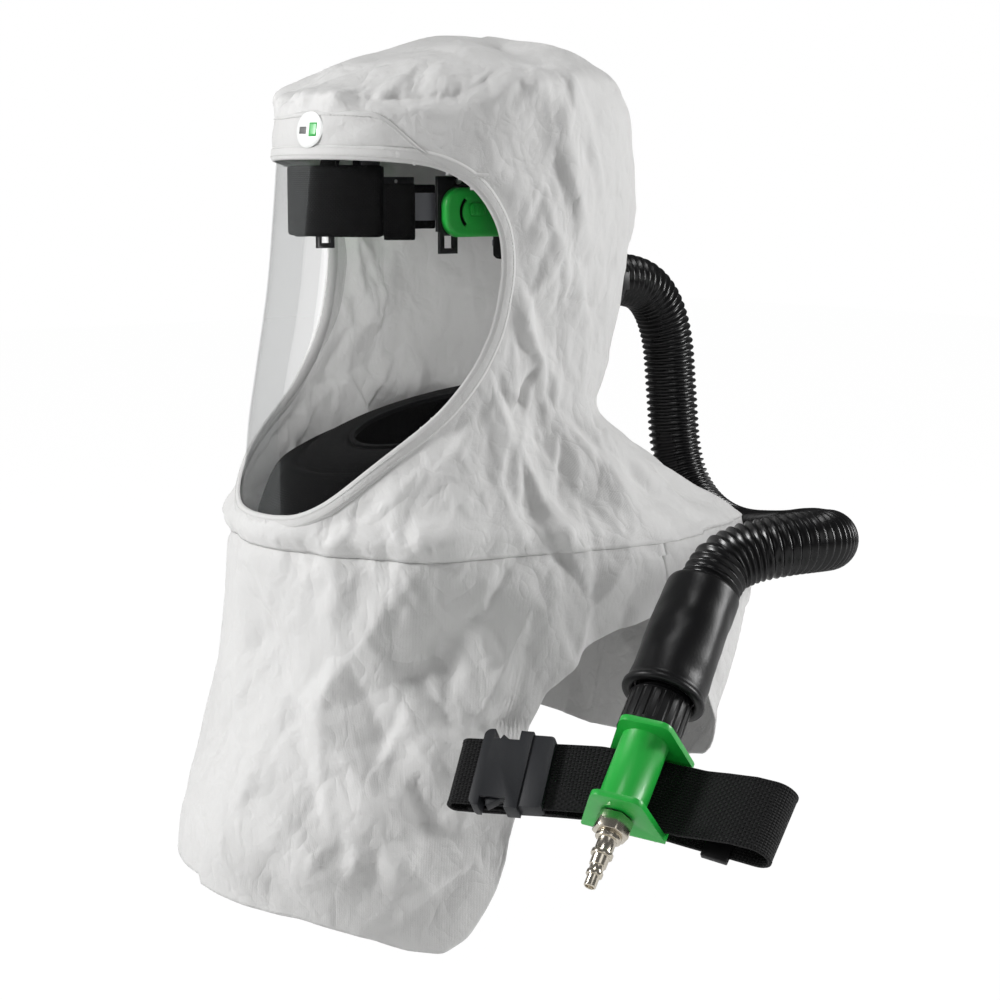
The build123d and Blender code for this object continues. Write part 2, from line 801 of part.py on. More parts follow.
save("hood_crown", hood())
save("visor_lens", visor())
save("visor_binding", binding())
save("brow_band", brow_band())
save("brow_label", brow_label())
save("front_bib", cape(True))
save("rear_cape", cape(False))
save("inner_collar", inner_collar())
save("collar_elastic", collar_elastic())
save("inlet_flange", inlet_flange())
save("flange_screws", flange_screws())
save("inlet_backing", inlet_backing())
save("inlet_lock_ring", inlet_lock_ring())
save("hose_top_cuff", hose_top_cuff())
save("inlet_elbow", inlet_elbow())
save("air_duct", air_duct())
save("headband_strap", headband_strap())
save("brow_pad", brow_pad())
save("sweatband", sweatband())
save("crown_frame", crown_frame())
save("crown_cross_strap", crown_cross_strap())
save("crown_pad", crown_pad())
save("temple_pads", temple_pads())
save("bracket_screws", bracket_screws())
for name, side in (("left", 1), ("right", -1)):
    save("side_bracket_" + name, side_bracket(side))
    save("lock_cover_" + name, lock_cover(side))
    save("lock_button_" + name, lock_button(side))
    save("button_spring_" + name, button_spring(side))
    save("rack_tail_" + name, rack_tail(side))
save("ratchet_housing", ratchet_housing())
save("ratchet_cover", ratchet_cover())
save("ratchet_pinion", ratchet_pinion())
save("ratchet_knob", ratchet_knob())
save("nape_pad", nape_pad())
save("valve_body", valve_body())
inner_valve_parts()
save("hex_fitting", hex_fitting())
save("seal_washer", seal_washer())
save("quick_nipple", quick_nipple())
save("belt_plate", belt_plate())
save("belt_plate_screws", belt_plate_screws())
save("swivel_tail", swivel_tail())
save("coupling_o_ring", coupling_o_ring())
save("coupling_nut", coupling_nut())
save("hose_sleeve", hose_sleeve())
save("breathing_hose", breathing_hose())
save("belt_webbing", belt_webbing())
save("belt_keeper", belt_keeper())
save("buckle_female", buckle_female())
save("buckle_male", buckle_male())
save("buckle_prong_upper", buckle_prong(1))
save("buckle_prong_lower", buckle_prong(-1))
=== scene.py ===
import bpy
import bmesh
import json
import math
import numpy as np
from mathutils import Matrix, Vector
from mathutils.bvhtree import BVHTree
from mathutils.geometry import delaunay_2d_cdt

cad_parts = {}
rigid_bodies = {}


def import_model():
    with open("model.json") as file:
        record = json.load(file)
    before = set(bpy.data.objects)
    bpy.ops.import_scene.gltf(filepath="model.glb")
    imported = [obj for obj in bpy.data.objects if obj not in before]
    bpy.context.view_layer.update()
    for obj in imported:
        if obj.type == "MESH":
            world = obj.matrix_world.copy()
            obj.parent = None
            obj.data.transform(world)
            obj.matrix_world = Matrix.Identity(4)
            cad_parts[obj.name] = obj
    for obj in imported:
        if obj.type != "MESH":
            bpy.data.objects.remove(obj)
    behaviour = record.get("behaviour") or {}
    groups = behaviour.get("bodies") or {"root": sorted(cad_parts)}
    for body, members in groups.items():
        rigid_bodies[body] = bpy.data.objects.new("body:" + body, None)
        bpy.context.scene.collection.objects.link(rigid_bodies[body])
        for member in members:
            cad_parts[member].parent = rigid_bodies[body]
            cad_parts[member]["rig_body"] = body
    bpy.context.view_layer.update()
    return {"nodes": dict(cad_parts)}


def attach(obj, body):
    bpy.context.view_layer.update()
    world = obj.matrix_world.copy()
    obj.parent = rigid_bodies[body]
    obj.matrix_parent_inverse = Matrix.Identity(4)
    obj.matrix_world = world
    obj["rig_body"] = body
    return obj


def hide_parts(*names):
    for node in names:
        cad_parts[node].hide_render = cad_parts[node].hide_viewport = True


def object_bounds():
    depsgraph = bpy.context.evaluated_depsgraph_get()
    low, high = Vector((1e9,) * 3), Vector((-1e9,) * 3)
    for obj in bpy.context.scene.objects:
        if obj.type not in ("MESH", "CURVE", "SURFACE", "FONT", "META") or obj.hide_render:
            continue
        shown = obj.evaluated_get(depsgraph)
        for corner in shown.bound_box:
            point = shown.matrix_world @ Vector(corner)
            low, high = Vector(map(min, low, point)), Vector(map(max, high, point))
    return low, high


# Supplied-air hood. Metres, the wearer faces -Y, +X is the wearer's left.
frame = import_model()
nodes = frame["nodes"]
mm = 0.001
print("frame loaded:", len(nodes), "nodes")


# Shader helpers

def newMaterial(name, color, roughness, metallic=0.0):
    material = bpy.data.materials.new(name)
    material.use_nodes = True
    shader = material.node_tree.nodes["Principled BSDF"]
    shader.inputs["Base Color"].default_value = (*color, 1)
    shader.inputs["Roughness"].default_value = roughness
    shader.inputs["Metallic"].default_value = metallic
    material.diffuse_color = (*color, 1)
    return material, material.node_tree, shader


def addNode(tree, kind, **values):
    node = tree.nodes.new(kind)
    for key, value in values.items():
        if hasattr(node, key):
            setattr(node, key, value)
        else:
            node.inputs[key.replace("_", " ")].default_value = value
    return node


def newGroup(name, inputs, outputs):
    group = bpy.data.node_groups.new(name, "ShaderNodeTree")
    for label, value in inputs.items():
        kind = "NodeSocketColor" if isinstance(value, tuple) else "NodeSocketFloat"
        socket = group.interface.new_socket(name=label, in_out="INPUT", socket_type=kind)
        socket.default_value = (*value, 1) if isinstance(value, tuple) else value
    for label, kind in outputs.items():
        group.interface.new_socket(name=label, in_out="OUTPUT", socket_type=kind)
    return group, group.nodes.new("NodeGroupInput"), group.nodes.new("NodeGroupOutput")


def useGroup(tree, group, **values):
    node = tree.nodes.new("ShaderNodeGroup")
    node.node_tree = group
    for key, value in values.items():
        socket = node.inputs[key]
        socket.default_value = (*value, 1) if isinstance(value, tuple) else value
    return node


def mathNode(tree, operation, first, second):
    node = tree.nodes.new("ShaderNodeMath")
    node.operation = operation
    for socket, value in zip(node.inputs, (first, second)):
        if isinstance(value, (int, float)):
            socket.default_value = value
        else:
            tree.links.new(value, socket)
    return node.outputs[0]


def addBump(tree, shader, height, strength, distance):
    bump = addNode(tree, "ShaderNodeBump", Strength=strength, Distance=distance)
    tree.links.new(height, bump.inputs["Height"])
    tree.links.new(bump.outputs["Normal"], shader.inputs["Normal"])
    return bump


# Sharp irregular creases: the folded middle of two noises, longer downwards than across
def makeCreaseGroup():
    group, source, result = newGroup(
        "creaseField", {"Size": 30.0, "Fine": 0.35}, {"Height": "NodeSocketFloat"})
    coords = group.nodes.new("ShaderNodeTexCoord")
    stretch = addNode(group, "ShaderNodeMapping")
    stretch.inputs["Scale"].default_value = (1.0, 1.0, 0.8)
    group.links.new(coords.outputs["Object"], stretch.inputs["Vector"])
    total = None
    for ratio, share in ((1.0, None), (2.7, "Fine")):
        cloud = addNode(group, "ShaderNodeTexNoise", Detail=2.0, Roughness=0.45, Distortion=0.35)
        group.links.new(stretch.outputs[0], cloud.inputs["Vector"])
        group.links.new(mathNode(group, "MULTIPLY", source.outputs["Size"], ratio), cloud.inputs["Scale"])
        centred = mathNode(group, "SUBTRACT", cloud.outputs["Fac"], 0.5)
        fold = mathNode(group, "ABSOLUTE", centred, 0.0)
        part = fold if share is None else mathNode(group, "MULTIPLY", fold, source.outputs[share])
        total = part if total is None else mathNode(group, "ADD", total, part)
    group.links.new(total, result.inputs["Height"])
    return group


# Fine speckle and grain
def makeGrainGroup():
    group, source, result = newGroup(
        "fineGrain", {"Scale": 900.0, "Depth": 1.0, "Spread": 0.1},
        {"Height": "NodeSocketFloat", "Tone": "NodeSocketFloat"})
    coords = group.nodes.new("ShaderNodeTexCoord")
    fine = addNode(group, "ShaderNodeTexNoise", Detail=4.0, Roughness=0.6)
    group.links.new(coords.outputs["Object"], fine.inputs["Vector"])
    group.links.new(source.outputs["Scale"], fine.inputs["Scale"])
    broad = addNode(group, "ShaderNodeTexNoise", Scale=14.0, Detail=3.0)
    group.links.new(coords.outputs["Object"], broad.inputs["Vector"])
    height = mathNode(group, "MULTIPLY", fine.outputs["Fac"], source.outputs["Depth"])
    group.links.new(height, result.inputs["Height"])
    shifted = mathNode(group, "SUBTRACT", broad.outputs["Fac"], 0.5)
    spread = mathNode(group, "MULTIPLY", shifted, source.outputs["Spread"])
    group.links.new(mathNode(group, "ADD", spread, 1.0), result.inputs["Tone"])
    return group


# Over and under weave read from a piece's UV map, in metres
def makeWeaveGroup():
    group, source, result = newGroup(
        "weave", {"Across": 600.0, "Along": 450.0}, {"Height": "NodeSocketFloat"})
    uv = group.nodes.new("ShaderNodeTexCoord")
    split = group.nodes.new("ShaderNodeSeparateXYZ")
    group.links.new(uv.outputs["UV"], split.inputs[0])
    x = mathNode(group, "MULTIPLY", split.outputs["X"], source.outputs["Across"])
    y = mathNode(group, "MULTIPLY", split.outputs["Y"], source.outputs["Along"])
    parity = mathNode(group, "MODULO", mathNode(group, "ADD", mathNode(group, "FLOOR", x, 0.0),
                                                mathNode(group, "FLOOR", y, 0.0)), 2.0)
    sineX = mathNode(group, "SINE", mathNode(group, "MULTIPLY", x, math.pi), 0.0)
    sineY = mathNode(group, "SINE", mathNode(group, "MULTIPLY", y, math.pi), 0.0)
    waveX = mathNode(group, "ABSOLUTE", sineX, 0.0)
    waveY = mathNode(group, "ABSOLUTE", sineY, 0.0)
    raised = mathNode(group, "ADD", mathNode(group, "MULTIPLY", parity, 0.5), 0.5)
    over = mathNode(group, "MULTIPLY", waveX, raised)
    height = mathNode(group, "MULTIPLY", over, mathNode(group, "POWER", waveY, 0.5))
    group.links.new(height, result.inputs["Height"])
    return group


creaseGroup = makeCreaseGroup()
grainGroup = makeGrainGroup()
weaveGroup = makeWeaveGroup()


def toned(tree, shader, color, tone):
    mix = addNode(tree, "ShaderNodeMix", data_type="RGBA", blend_type="MULTIPLY")
    mix.inputs["Factor"].default_value = 1.0
    mix.inputs["A"].default_value = (*color, 1)
    mix.inputs[6].default_value = (*color, 1)
    tree.links.new(tone, mix.inputs[7])
    tree.links.new(mix.outputs[2], shader.inputs["Base Color"])


def hoodFabric(name, color, creaseSize, creaseDepth, lines=True):
    material, tree, shader = newMaterial(name, color, 0.62)
    shader.inputs["Sheen Weight"].default_value = 0.25
    shader.inputs["Sheen Roughness"].default_value = 0.5
    shader.inputs["Specular IOR Level"].default_value = 0.35
    crease = useGroup(tree, creaseGroup, Size=creaseSize, Fine=0.35)
    grain = useGroup(tree, grainGroup, Scale=1400.0, Depth=0.00025, Spread=0.07)
    deep = mathNode(tree, "MULTIPLY", crease.outputs[0], creaseDepth)
    height = mathNode(tree, "ADD", deep, grain.outputs["Height"])
    if lines:
        coords = tree.nodes.new("ShaderNodeTexCoord")
        stripes = addNode(tree, "ShaderNodeTexWave", Scale=0.32, Distortion=0.6, Detail=2.0)
        mapping = tree.nodes.new("ShaderNodeMapping")
        mapping.inputs["Scale"].default_value = (1000, 1000, 12)
        tree.links.new(coords.outputs["UV"], mapping.inputs["Vector"])
        tree.links.new(mapping.outputs[0], stripes.inputs["Vector"])
        height = mathNode(tree, "ADD", height, mathNode(tree, "MULTIPLY", stripes.outputs["Fac"], 0.00006))
    addBump(tree, shader, height, 1.0, 1.0)
    toned(tree, shader, color, grain.outputs["Tone"])
    return material


def moulded(name, color, roughness, grainDepth=0.00006, coat=0.0, scale=1200.0, spread=0.2, shine=0.5):
    material, tree, shader = newMaterial(name, color, roughness)
    shader.inputs["Specular IOR Level"].default_value = shine
    shader.inputs["Coat Weight"].default_value = coat
    shader.inputs["Coat Roughness"].default_value = 0.12
    grain = useGroup(tree, grainGroup, Scale=scale, Depth=grainDepth, Spread=spread)
    addBump(tree, shader, grain.outputs["Height"], 1.0, 1.0)
    toned(tree, shader, color, grain.outputs["Tone"])
    worn = mathNode(tree, "ADD", mathNode(tree, "MULTIPLY", grain.outputs["Tone"], 0.35), roughness - 0.35)
    tree.links.new(worn, shader.inputs["Roughness"])
    return material


def metal(name, color, roughness):
    material, tree, shader = newMaterial(name, color, roughness, 1.0)
    grain = useGroup(tree, grainGroup, Scale=500.0, Depth=0.00002, Spread=0.3)
    addBump(tree, shader, grain.outputs["Height"], 1.0, 1.0)
    toned(tree, shader, color, grain.outputs["Tone"])
    return material


def clothBlack(name, color, across, along, depth, roughness=0.85, sheen=0.06):
    material, tree, shader = newMaterial(name, color, roughness)
    shader.inputs["Sheen Weight"].default_value = sheen
    shader.inputs["Specular IOR Level"].default_value = 0.15
    weave = useGroup(tree, weaveGroup, Across=across, Along=along)
    addBump(tree, shader, mathNode(tree, "MULTIPLY", weave.outputs[0], depth), 1.0, 1.0)
    grain = useGroup(tree, grainGroup, Scale=500.0, Depth=0.0, Spread=0.4)
    toned(tree, shader, color, grain.outputs["Tone"])
    return material


def makeLens():
    material, tree, shader = newMaterial("clearVisor", (0.22, 0.23, 0.23), 0.03)
    shader.inputs["IOR"].default_value = 1.48
    shader.inputs["Specular IOR Level"].default_value = 0.7
    fresnel = addNode(tree, "ShaderNodeFresnel", IOR=1.35)
    alpha = mathNode(tree, "MULTIPLY", fresnel.outputs[0], 0.27)
    tree.links.new(alpha, shader.inputs["Alpha"])
    grain = useGroup(tree, grainGroup, Scale=30.0, Depth=0.0003, Spread=0.0)
    addBump(tree, shader, grain.outputs["Height"], 1.0, 1.0)
    return material


paint = {
    "hood": hoodFabric("hoodFabric", (0.68, 0.677, 0.67), 24.0, 0.006),
    "binding": hoodFabric("bindingTape", (0.64, 0.637, 0.63), 60.0, 0.0012, False),
    "lens": makeLens(),
    "label": moulded("clearLabel", (0.86, 0.87, 0.86), 0.3, 0.0, 0.6),
    "labelGreen": moulded("labelInk", (0.01, 0.40, 0.05), 0.4, 0.0, 0.3),
    "labelGrey": moulded("labelGreyInk", (0.10, 0.10, 0.10), 0.4, 0.0, 0.3),
    "collar": clothBlack("collarKnit", (0.0024, 0.0024, 0.0027), 500.0, 500.0, 0.0002, 0.9, 0.0),
    "pad": clothBlack("padCover", (0.004, 0.004, 0.0042), 700.0, 700.0, 0.00025, 0.95, 0.0),
    "web": clothBlack("beltWeb", (0.006, 0.006, 0.0065), 520.0, 420.0, 0.0011, 0.6, 0.05),
    "black": moulded("blackMoulding", (0.006, 0.006, 0.0065), 0.40, shine=0.3),
    "charcoal": moulded("buckleMoulding", (0.014, 0.015, 0.018), 0.45, 0.0001, shine=0.35),
    "grey": moulded("strapMoulding", (0.16, 0.165, 0.18), 0.45),
    "green": moulded("greenMoulding", (0.010, 0.42, 0.045), 0.40, 0.00008, 0.15),
    "rubber": moulded("blackRubber", (0.004, 0.004, 0.0045), 0.36, 0.0001, 0.0, 500.0, shine=0.28),
    "hose": moulded("hoseRubber", (0.004, 0.004, 0.0045), 0.27, 0.00003, shine=0.4),
    "nickel": metal("nickelPlate", (0.66, 0.61, 0.52), 0.22),
    "brass": metal("brassTurned", (0.62, 0.45, 0.18), 0.3),
    "steel": metal("zincSteel", (0.5, 0.5, 0.5), 0.35),
    "thread": moulded("sewingThread", (0.66, 0.66, 0.65), 0.8, 0.0),
}
print("materials made")


# Mesh helpers

def addPiece(name, points, faces, material, smooth=True):
    mesh = bpy.data.meshes.new(name)
    mesh.from_pydata([tuple(p) for p in points], [], [tuple(int(i) for i in f) for f in faces])
    mesh.update()
    piece = bpy.data.objects.new(name, mesh)
    bpy.context.scene.collection.objects.link(piece)
    mesh.materials.append(material)
    if smooth:
        mesh.polygons.foreach_set("use_smooth", [True] * len(mesh.polygons))
    return piece


def gridFaces(rows, columns, closed):
    last = columns if closed else columns - 1
    row, column = np.meshgrid(np.arange(rows - 1), np.arange(last), indexing="ij")
    row, column = row.ravel(), column.ravel()
    nextColumn = (column + 1) % columns
    return np.stack([row * columns + column, row * columns + nextColumn,
                     (row + 1) * columns + nextColumn, (row + 1) * columns + column], 1)


def setUv(piece, uv):
    layer = piece.data.uv_layers.new(name="fabric")
    loops = np.zeros(len(piece.data.loops), int)
    piece.data.loops.foreach_get("vertex_index", loops)
    layer.data.foreach_set("uv", np.asarray(uv, float)[loops].astype(np.float32).ravel())


def applyModifiers(piece):
    graph = bpy.context.evaluated_depsgraph_get()
    graph.update()
    mesh = bpy.data.meshes.new_from_object(piece.evaluated_get(graph), depsgraph=graph)
    piece.modifiers.clear()
    old = piece.data
    piece.data = mesh
    bpy.data.meshes.remove(old)
    return piece


def thicken(piece, thickness, offset=-1.0):
    solid = piece.modifiers.new("thickness", "SOLIDIFY")
    solid.thickness = thickness
    solid.offset = offset
    return applyModifiers(piece)


def orient(piece):
    work = bmesh.new()
    work.from_mesh(piece.data)
    bmesh.ops.remove_doubles(work, verts=work.verts, dist=1e-6)
    bmesh.ops.recalc_face_normals(work, faces=work.faces)
    work.to_mesh(piece.data)
    work.free()
    return piece


def lattice(i, j, seed):
    value = np.sin(i * 127.1 + j * 311.7 + seed * 74.7) * 43758.5453
    return (value - np.floor(value)) * 2 - 1


# Smooth waves on a square lattice, closed after wrap cells in x
def softField(x, y, wrap, seed):
    i, j = np.floor(x), np.floor(y)
    fx, fy = x - i, y - j
    fx, fy = fx * fx * (3 - 2 * fx), fy * fy * (3 - 2 * fy)
    a, b = i % wrap, (i + 1) % wrap
    low = lattice(a, j, seed) * (1 - fx) + lattice(b, j, seed) * fx
    high = lattice(a, j + 1, seed) * (1 - fx) + lattice(b, j + 1, seed) * fx
    return low * (1 - fy) + high * fy


# Flat facets with straight creases between random heights, closed after wrap cells in x
def facetField(x, y, wrap, seed):
    x = x + 0.42 * softField(x * 0.5, y * 0.5, wrap / 2, seed + 11)
    y = y + 0.42 * softField(x * 0.5, y * 0.5, wrap / 2, seed + 23)
    i, j = np.floor(x), np.floor(y)
    fx, fy = x - i, y - j
    a, b = i % wrap, (i + 1) % wrap
    flip = lattice(a, j, seed + 5) > 0
    c00 = np.where(flip, lattice(b, j, seed), lattice(a, j, seed))
    c10 = np.where(flip, lattice(a, j, seed), lattice(b, j, seed))
    c01 = np.where(flip, lattice(b, j + 1, seed), lattice(a, j + 1, seed))
    c11 = np.where(flip, lattice(a, j + 1, seed), lattice(b, j + 1, seed))
    fx = np.where(flip, 1 - fx, fx)
    upper = fx > fy
    high, low = np.maximum(fx, fy), np.minimum(fx, fy)
    return c00 * (1 - high) + np.where(upper, c10, c01) * (high - low) + c11 * low


def smoothStep(low, high, value):
    t = np.clip((value - low) / (high - low), 0, 1)
    return t * t * (3 - 2 * t)


# A smooth curve through rows of numbers
def throughRows(rows, steps):
    rows = np.asarray(rows, float)
    padded = np.vstack([2 * rows[0] - rows[1], rows, 2 * rows[-1] - rows[-2]])
    t = np.clip(np.asarray(steps, float), 0, len(rows) - 1 - 1e-9)
    k = np.floor(t).astype(int)
    f = (t - k)[:, None]
    p0, p1, p2, p3 = padded[k], padded[k + 1], padded[k + 2], padded[k + 3]
    return 0.5 * (2 * p1 + (p2 - p0) * f + (2 * p0 - 5 * p1 + 4 * p2 - p3) * f ** 2
                  + (3 * p1 - p0 - 3 * p2 + p3) * f ** 3)


# Hood and cape. Sizes in millimetres, rows as in the frame: height, front ease, centre of the front curve,
# side ease, back ease, rear corner radius, middle of the section
garment = {
    "halfWidth": 78, "halfDepth": 98, "neck": -250, "columns": 350, "hoodRows": 164, "capeRows": 104,
    "wall": 0.9, "browDip": 17, "portHeight": -62, "portFace": 166.3, "split": 90,
}
hoodRows = [
    (129, -110, 44, -62, -30, 20, 42), (121, -56, 42, -12, 23, 60, 40), (108, -20, 36, 12, 45, 84, 36),
    (90, 10, 28, 32, 56, 96, 32), (55, 17, 30, 40, 66, 102, 28), (0, 23, 29, 41, 66, 108, 26),
    (-60, 30, 24, 41, 58, 110, 24), (-120, 42, 15, 38, 49, 108, 22), (-160, 50, 12, 38, 42, 104, 21),
    (-200, 52, 30, 57, 86, 90, 20), (-250, 56, 30, 82, 138, 75, 20),
]
capeRows = [
    (-250, 56, 30, 82, 138, 75, 20), (-276, 58, 30, 92, 138, 75, 20), (-330, 64, 30, 96, 116, 78, 20),
    (-400, 80, 26, 98, 86, 80, 20), (-450, 102, 24, 100, 70, 80, 20), (-530, 114, 20, 102, 52, 80, 20),
]
# lower edge of the cape on the wearer's left: place along the side and height
capeHem = [
    (0, -214, -500), (60, -200, -505), (92, -181, -508), (127, -152, -519), (148, -128, -530),
    (160, -104, -534), (169, -86, -524), (172, -69, -502), (174, -57, -482), (173, -50, -453),
    (163, -34, -387), (161, -14, -350),
    (164, 12, -330), (162, 42, -312), (161, 68, -304), (160, 92, -305), (160, 112, -322), (160, 128, -360),
    (160, 142, -405), (158, 156, -428), (140, 180, -438), (60, 200, -440), (0, 205, -440),
]


def sectionRadius(row, angles):
    front, centre, side, back, corner, middle = row[1:]
    width = garment["halfWidth"] + side
    nose = -garment["halfDepth"] - front
    rear = garment["halfDepth"] + back
    sweep = np.linspace(0, math.pi / 2, 60)
    frontX = width * np.sin(sweep)
    frontY = centre - (centre - nose) * np.cos(sweep)
    cornerX = width - corner + corner * np.cos(sweep)
    cornerY = rear - corner + corner * np.sin(sweep)
    x = np.concatenate([frontX, cornerX, [0]])
    y = np.concatenate([frontY, cornerY, [rear]])
    turn = np.arctan2(x, y - middle)
    order = np.argsort(turn)
    return np.interp(np.abs(angles), turn[order], np.hypot(x, y - middle)[order])


angles = (np.arange(garment["columns"]) / garment["columns"]) * 2 * math.pi
angles = np.where(angles > math.pi, angles - 2 * math.pi, angles)


def tabulate(rows, count):
    steps = np.linspace(0, len(rows) - 1, count)
    table = throughRows(rows, steps)
    radius = np.stack([sectionRadius(row, angles) for row in table])
    return table, radius


hoodTable, hoodRadius = tabulate(hoodRows, 420)
capeTable, capeRadius = tabulate(capeRows, 300)


# Distance to the front of the hood at a place seen from the front
def frontY(x, z):
    order = np.argsort(hoodTable[:, 0])
    heights = hoodTable[order, 0]
    pick = [np.interp(z, heights, hoodTable[order, k]) for k in range(6)]
    width = garment["halfWidth"] + pick[3]
    nose = -garment["halfDepth"] - pick[1]
    share = np.clip(np.abs(x) / width, 0, 0.9995)
    return pick[2] - (pick[2] - nose) * np.sqrt(1 - share ** 2)


# inner edge of the visor's binding on the wearer's left: across and height
visorEdge = [
    (0, 34), (45, 33.5), (78, 31.5), (96, 27), (107, 14), (113, -10), (115, -38), (114.5, -68), (112, -98),
    (106.5, -130), (95, -163), (78, -191), (60, -211), (40, -221.5), (18, -224.5), (0, -225),
]


def visorOutline(grow=0.0, count=360):
    half = throughRows(visorEdge, np.linspace(0, len(visorEdge) - 1, 400))
    whole = np.vstack([half, (half * (-1, 1))[::-1][1:]])
    length = np.concatenate([[0], np.cumsum(np.hypot(*np.diff(whole, axis=0).T))])
    s = np.linspace(0, length[-1], count, endpoint=False)
    path = np.stack([np.interp(s, length, whole[:, 0]), np.interp(s, length, whole[:, 1])], 1)
    for _ in range(3):
        path = (path + np.roll(path, 1, 0) + np.roll(path, -1, 0)) / 3
    tangent = np.roll(path, -1, 0) - np.roll(path, 1, 0)
    tangent /= np.linalg.norm(tangent, axis=1)[:, None]
    normal = np.stack([-tangent[:, 1], tangent[:, 0]], 1)
    if np.sum(normal[:, 0] * path[:, 0]) < 0:
        normal = -normal
    return path + normal * grow


outline = visorOutline()


outlineDepth = frontY(outline[:, 0], outline[:, 1])


def outlineDistance(x, y, z):
    gap = np.full(x.shape, 1e9)
    for px, py, pz in zip(outline[::3, 0], outlineDepth[::3], outline[::3, 1]):
        gap = np.minimum(gap, (x - px) ** 2 + (y - py) ** 2 + (z - pz) ** 2)
    return np.sqrt(gap)


def insideOutline(x, z):
    inside = np.zeros(x.shape, bool)
    px, pz = outline[:, 0], outline[:, 1]
    qx, qz = np.roll(px, -1), np.roll(pz, -1)
    for ax, az, bx, bz in zip(px, pz, qx, qz):
        crosses = ((az > z) != (bz > z))
        at = ax + (z - az) * (bx - ax) / (bz - az if bz != az else 1e-9)
        inside ^= crosses & (x < at)
    return inside


# cells round the garment, height of a cell, depth, lean of the folds and seed
folds = {
    "sheets": [(17, 125, 14.0, 0.35, 3), (33, 62, 9.0, -0.5, 11), (62, 30, 4.8, 0.3, 29),
               (104, 19, 2.1, -0.3, 31)],
    "crown": [(62, 12.0, 53), (34, 5.0, 59)],
    "length": 1000.0, "low": -560.0, "high": 160.0,
}


# Straight creases between scattered points of random height, given back as a tree to shoot at
def creaseTree(width, tall, depth, lean, seed, length, low, high, closed):
    chance = np.random.default_rng(seed)
    columns, rows = int(round(length / width)), int((high - low) / tall) + 3
    i, j = np.meshgrid(np.arange(columns), np.arange(rows), indexing="ij")
    u = (i + 0.5 + 0.46 * chance.uniform(-1, 1, i.shape)) * width
    v = low - tall + (j + 0.5 * (i % 2) + 0.46 * chance.uniform(-1, 1, i.shape)) * tall
    sign = np.where((i + j) % 2 == 0, 1, -1)
    height = depth * (0.62 * sign * chance.uniform(0, 1, i.shape) + 0.5 * chance.uniform(-1, 1, i.shape))
    shifts = (-length, 0, length) if closed else (0,)
    u, v, height = (np.concatenate([(part + s * move).ravel() for s in shifts])
                    for part, move in ((u, 1), (v, 0), (height, 0)))
    flat = [Vector((a, b)) for a, b in zip(u + lean * v, v * width / tall)]
    found = delaunay_2d_cdt(flat, [], [], 0, 1e-6)
    points = [(p.x, p.y, height[source[0]]) for p, source in zip(found[0], found[3])]
    return BVHTree.FromPolygons(points, found[2])


def creaseHeights(tree, u, v, width, tall, lean):
    down = Vector((0, 0, -1))
    out = np.zeros(u.size)
    for k, (a, b) in enumerate(zip((u + lean * v).ravel(), (v * width / tall).ravel())):
        hit = tree.ray_cast(Vector((a, b, 100)), down)[0]
        out[k] = out[k - 1] if hit is None else hit.z
    return out.reshape(u.shape)


# How far the fabric stands off its smooth shape
def crumple(angle, x, y, z):
    length = folds["length"]
    u = angle % (2 * math.pi) / (2 * math.pi) * length
    total = np.zeros(x.shape)
    for level, (cells, tall, depth, lean, seed) in enumerate(folds["sheets"]):
        width = length / cells
        tree = creaseTree(width, tall, depth, lean, seed, length, folds["low"], folds["high"], True)
        part = creaseHeights(tree, u, z, width, tall, lean)
        patch = smoothStep(-0.7, 0.2, softField(u / length * 12, z / 85, 12, 71)) if level > 1 else 1
        total += part * patch
    top = np.zeros(x.shape)
    for width, depth, seed in folds["crown"]:
        tree = creaseTree(width, width, depth, 0.2, seed, 400.0, -220.0, 220.0, False)
        top += creaseHeights(tree, x + 200, y, width, width, 0.2)
    share = smoothStep(84, 116, z)
    return total * (1 - share) + (top - 4.0) * share


# Near one where the fabric hangs crumpled, low on the flat front strip, the hem and the upper back
def unrest(angle, z):
    turn = np.degrees(angle % (2 * math.pi))
    below = (z - garment["neck"]) * 0.03
    strip = np.exp(-((turn - (203 + below)) / (15 - below)) ** 2) * smoothStep(-235, -285, z)
    hem = smoothStep(-505, -455, z)
    back = smoothStep(88, 62, np.minimum(turn, 360 - turn)) * smoothStep(-215, -120, z)
    return (1 - 0.85 * strip) * (0.25 + 0.75 * hem) * (1 - 0.6 * back)


def gatherFolds(angle, z):
    turn = np.degrees(angle % (2 * math.pi))
    reach = smoothStep(100, 150, turn) * smoothStep(300, 250, turn)
    near = np.exp(-np.abs(z - garment["neck"]) / 26.0)
    around = angle / (2 * math.pi)
    fold = 2.6 * facetField(around * 46, z / 90, 46, 41) + 1.4 * facetField(around * 90, z / 60, 90, 43)
    seam = -3.2 * np.exp(-((z - garment["neck"]) / 5.0) ** 2)
    return near * fold * (0.3 + 0.7 * reach) + seam * reach


def buildShell(table, radius, rows, lowerEdge):
    count, columns = len(rows), len(angles)
    angle = np.broadcast_to(angles, (count, columns))
    sin, cos = np.sin(angle), np.cos(angle)
    x, y, z = (np.zeros((count, columns)) for _ in range(3))
    steps = np.arange(len(table))
    for c in range(columns):
        if lowerEdge is None:
            place = rows * (len(table) - 1)
            height = np.interp(place, steps, table[:, 0])
        else:
            height = garment["neck"] + rows * (lowerEdge[c] - garment["neck"])
            place = np.interp(-height, -table[:, 0], steps)
        reach = np.interp(place, steps, radius[:, c])
        middle = np.interp(place, steps, table[:, 6])
        x[:, c] = reach * sin[:, c]
        y[:, c] = middle + reach * cos[:, c]
        z[:, c] = height
    return angle, x, y, z


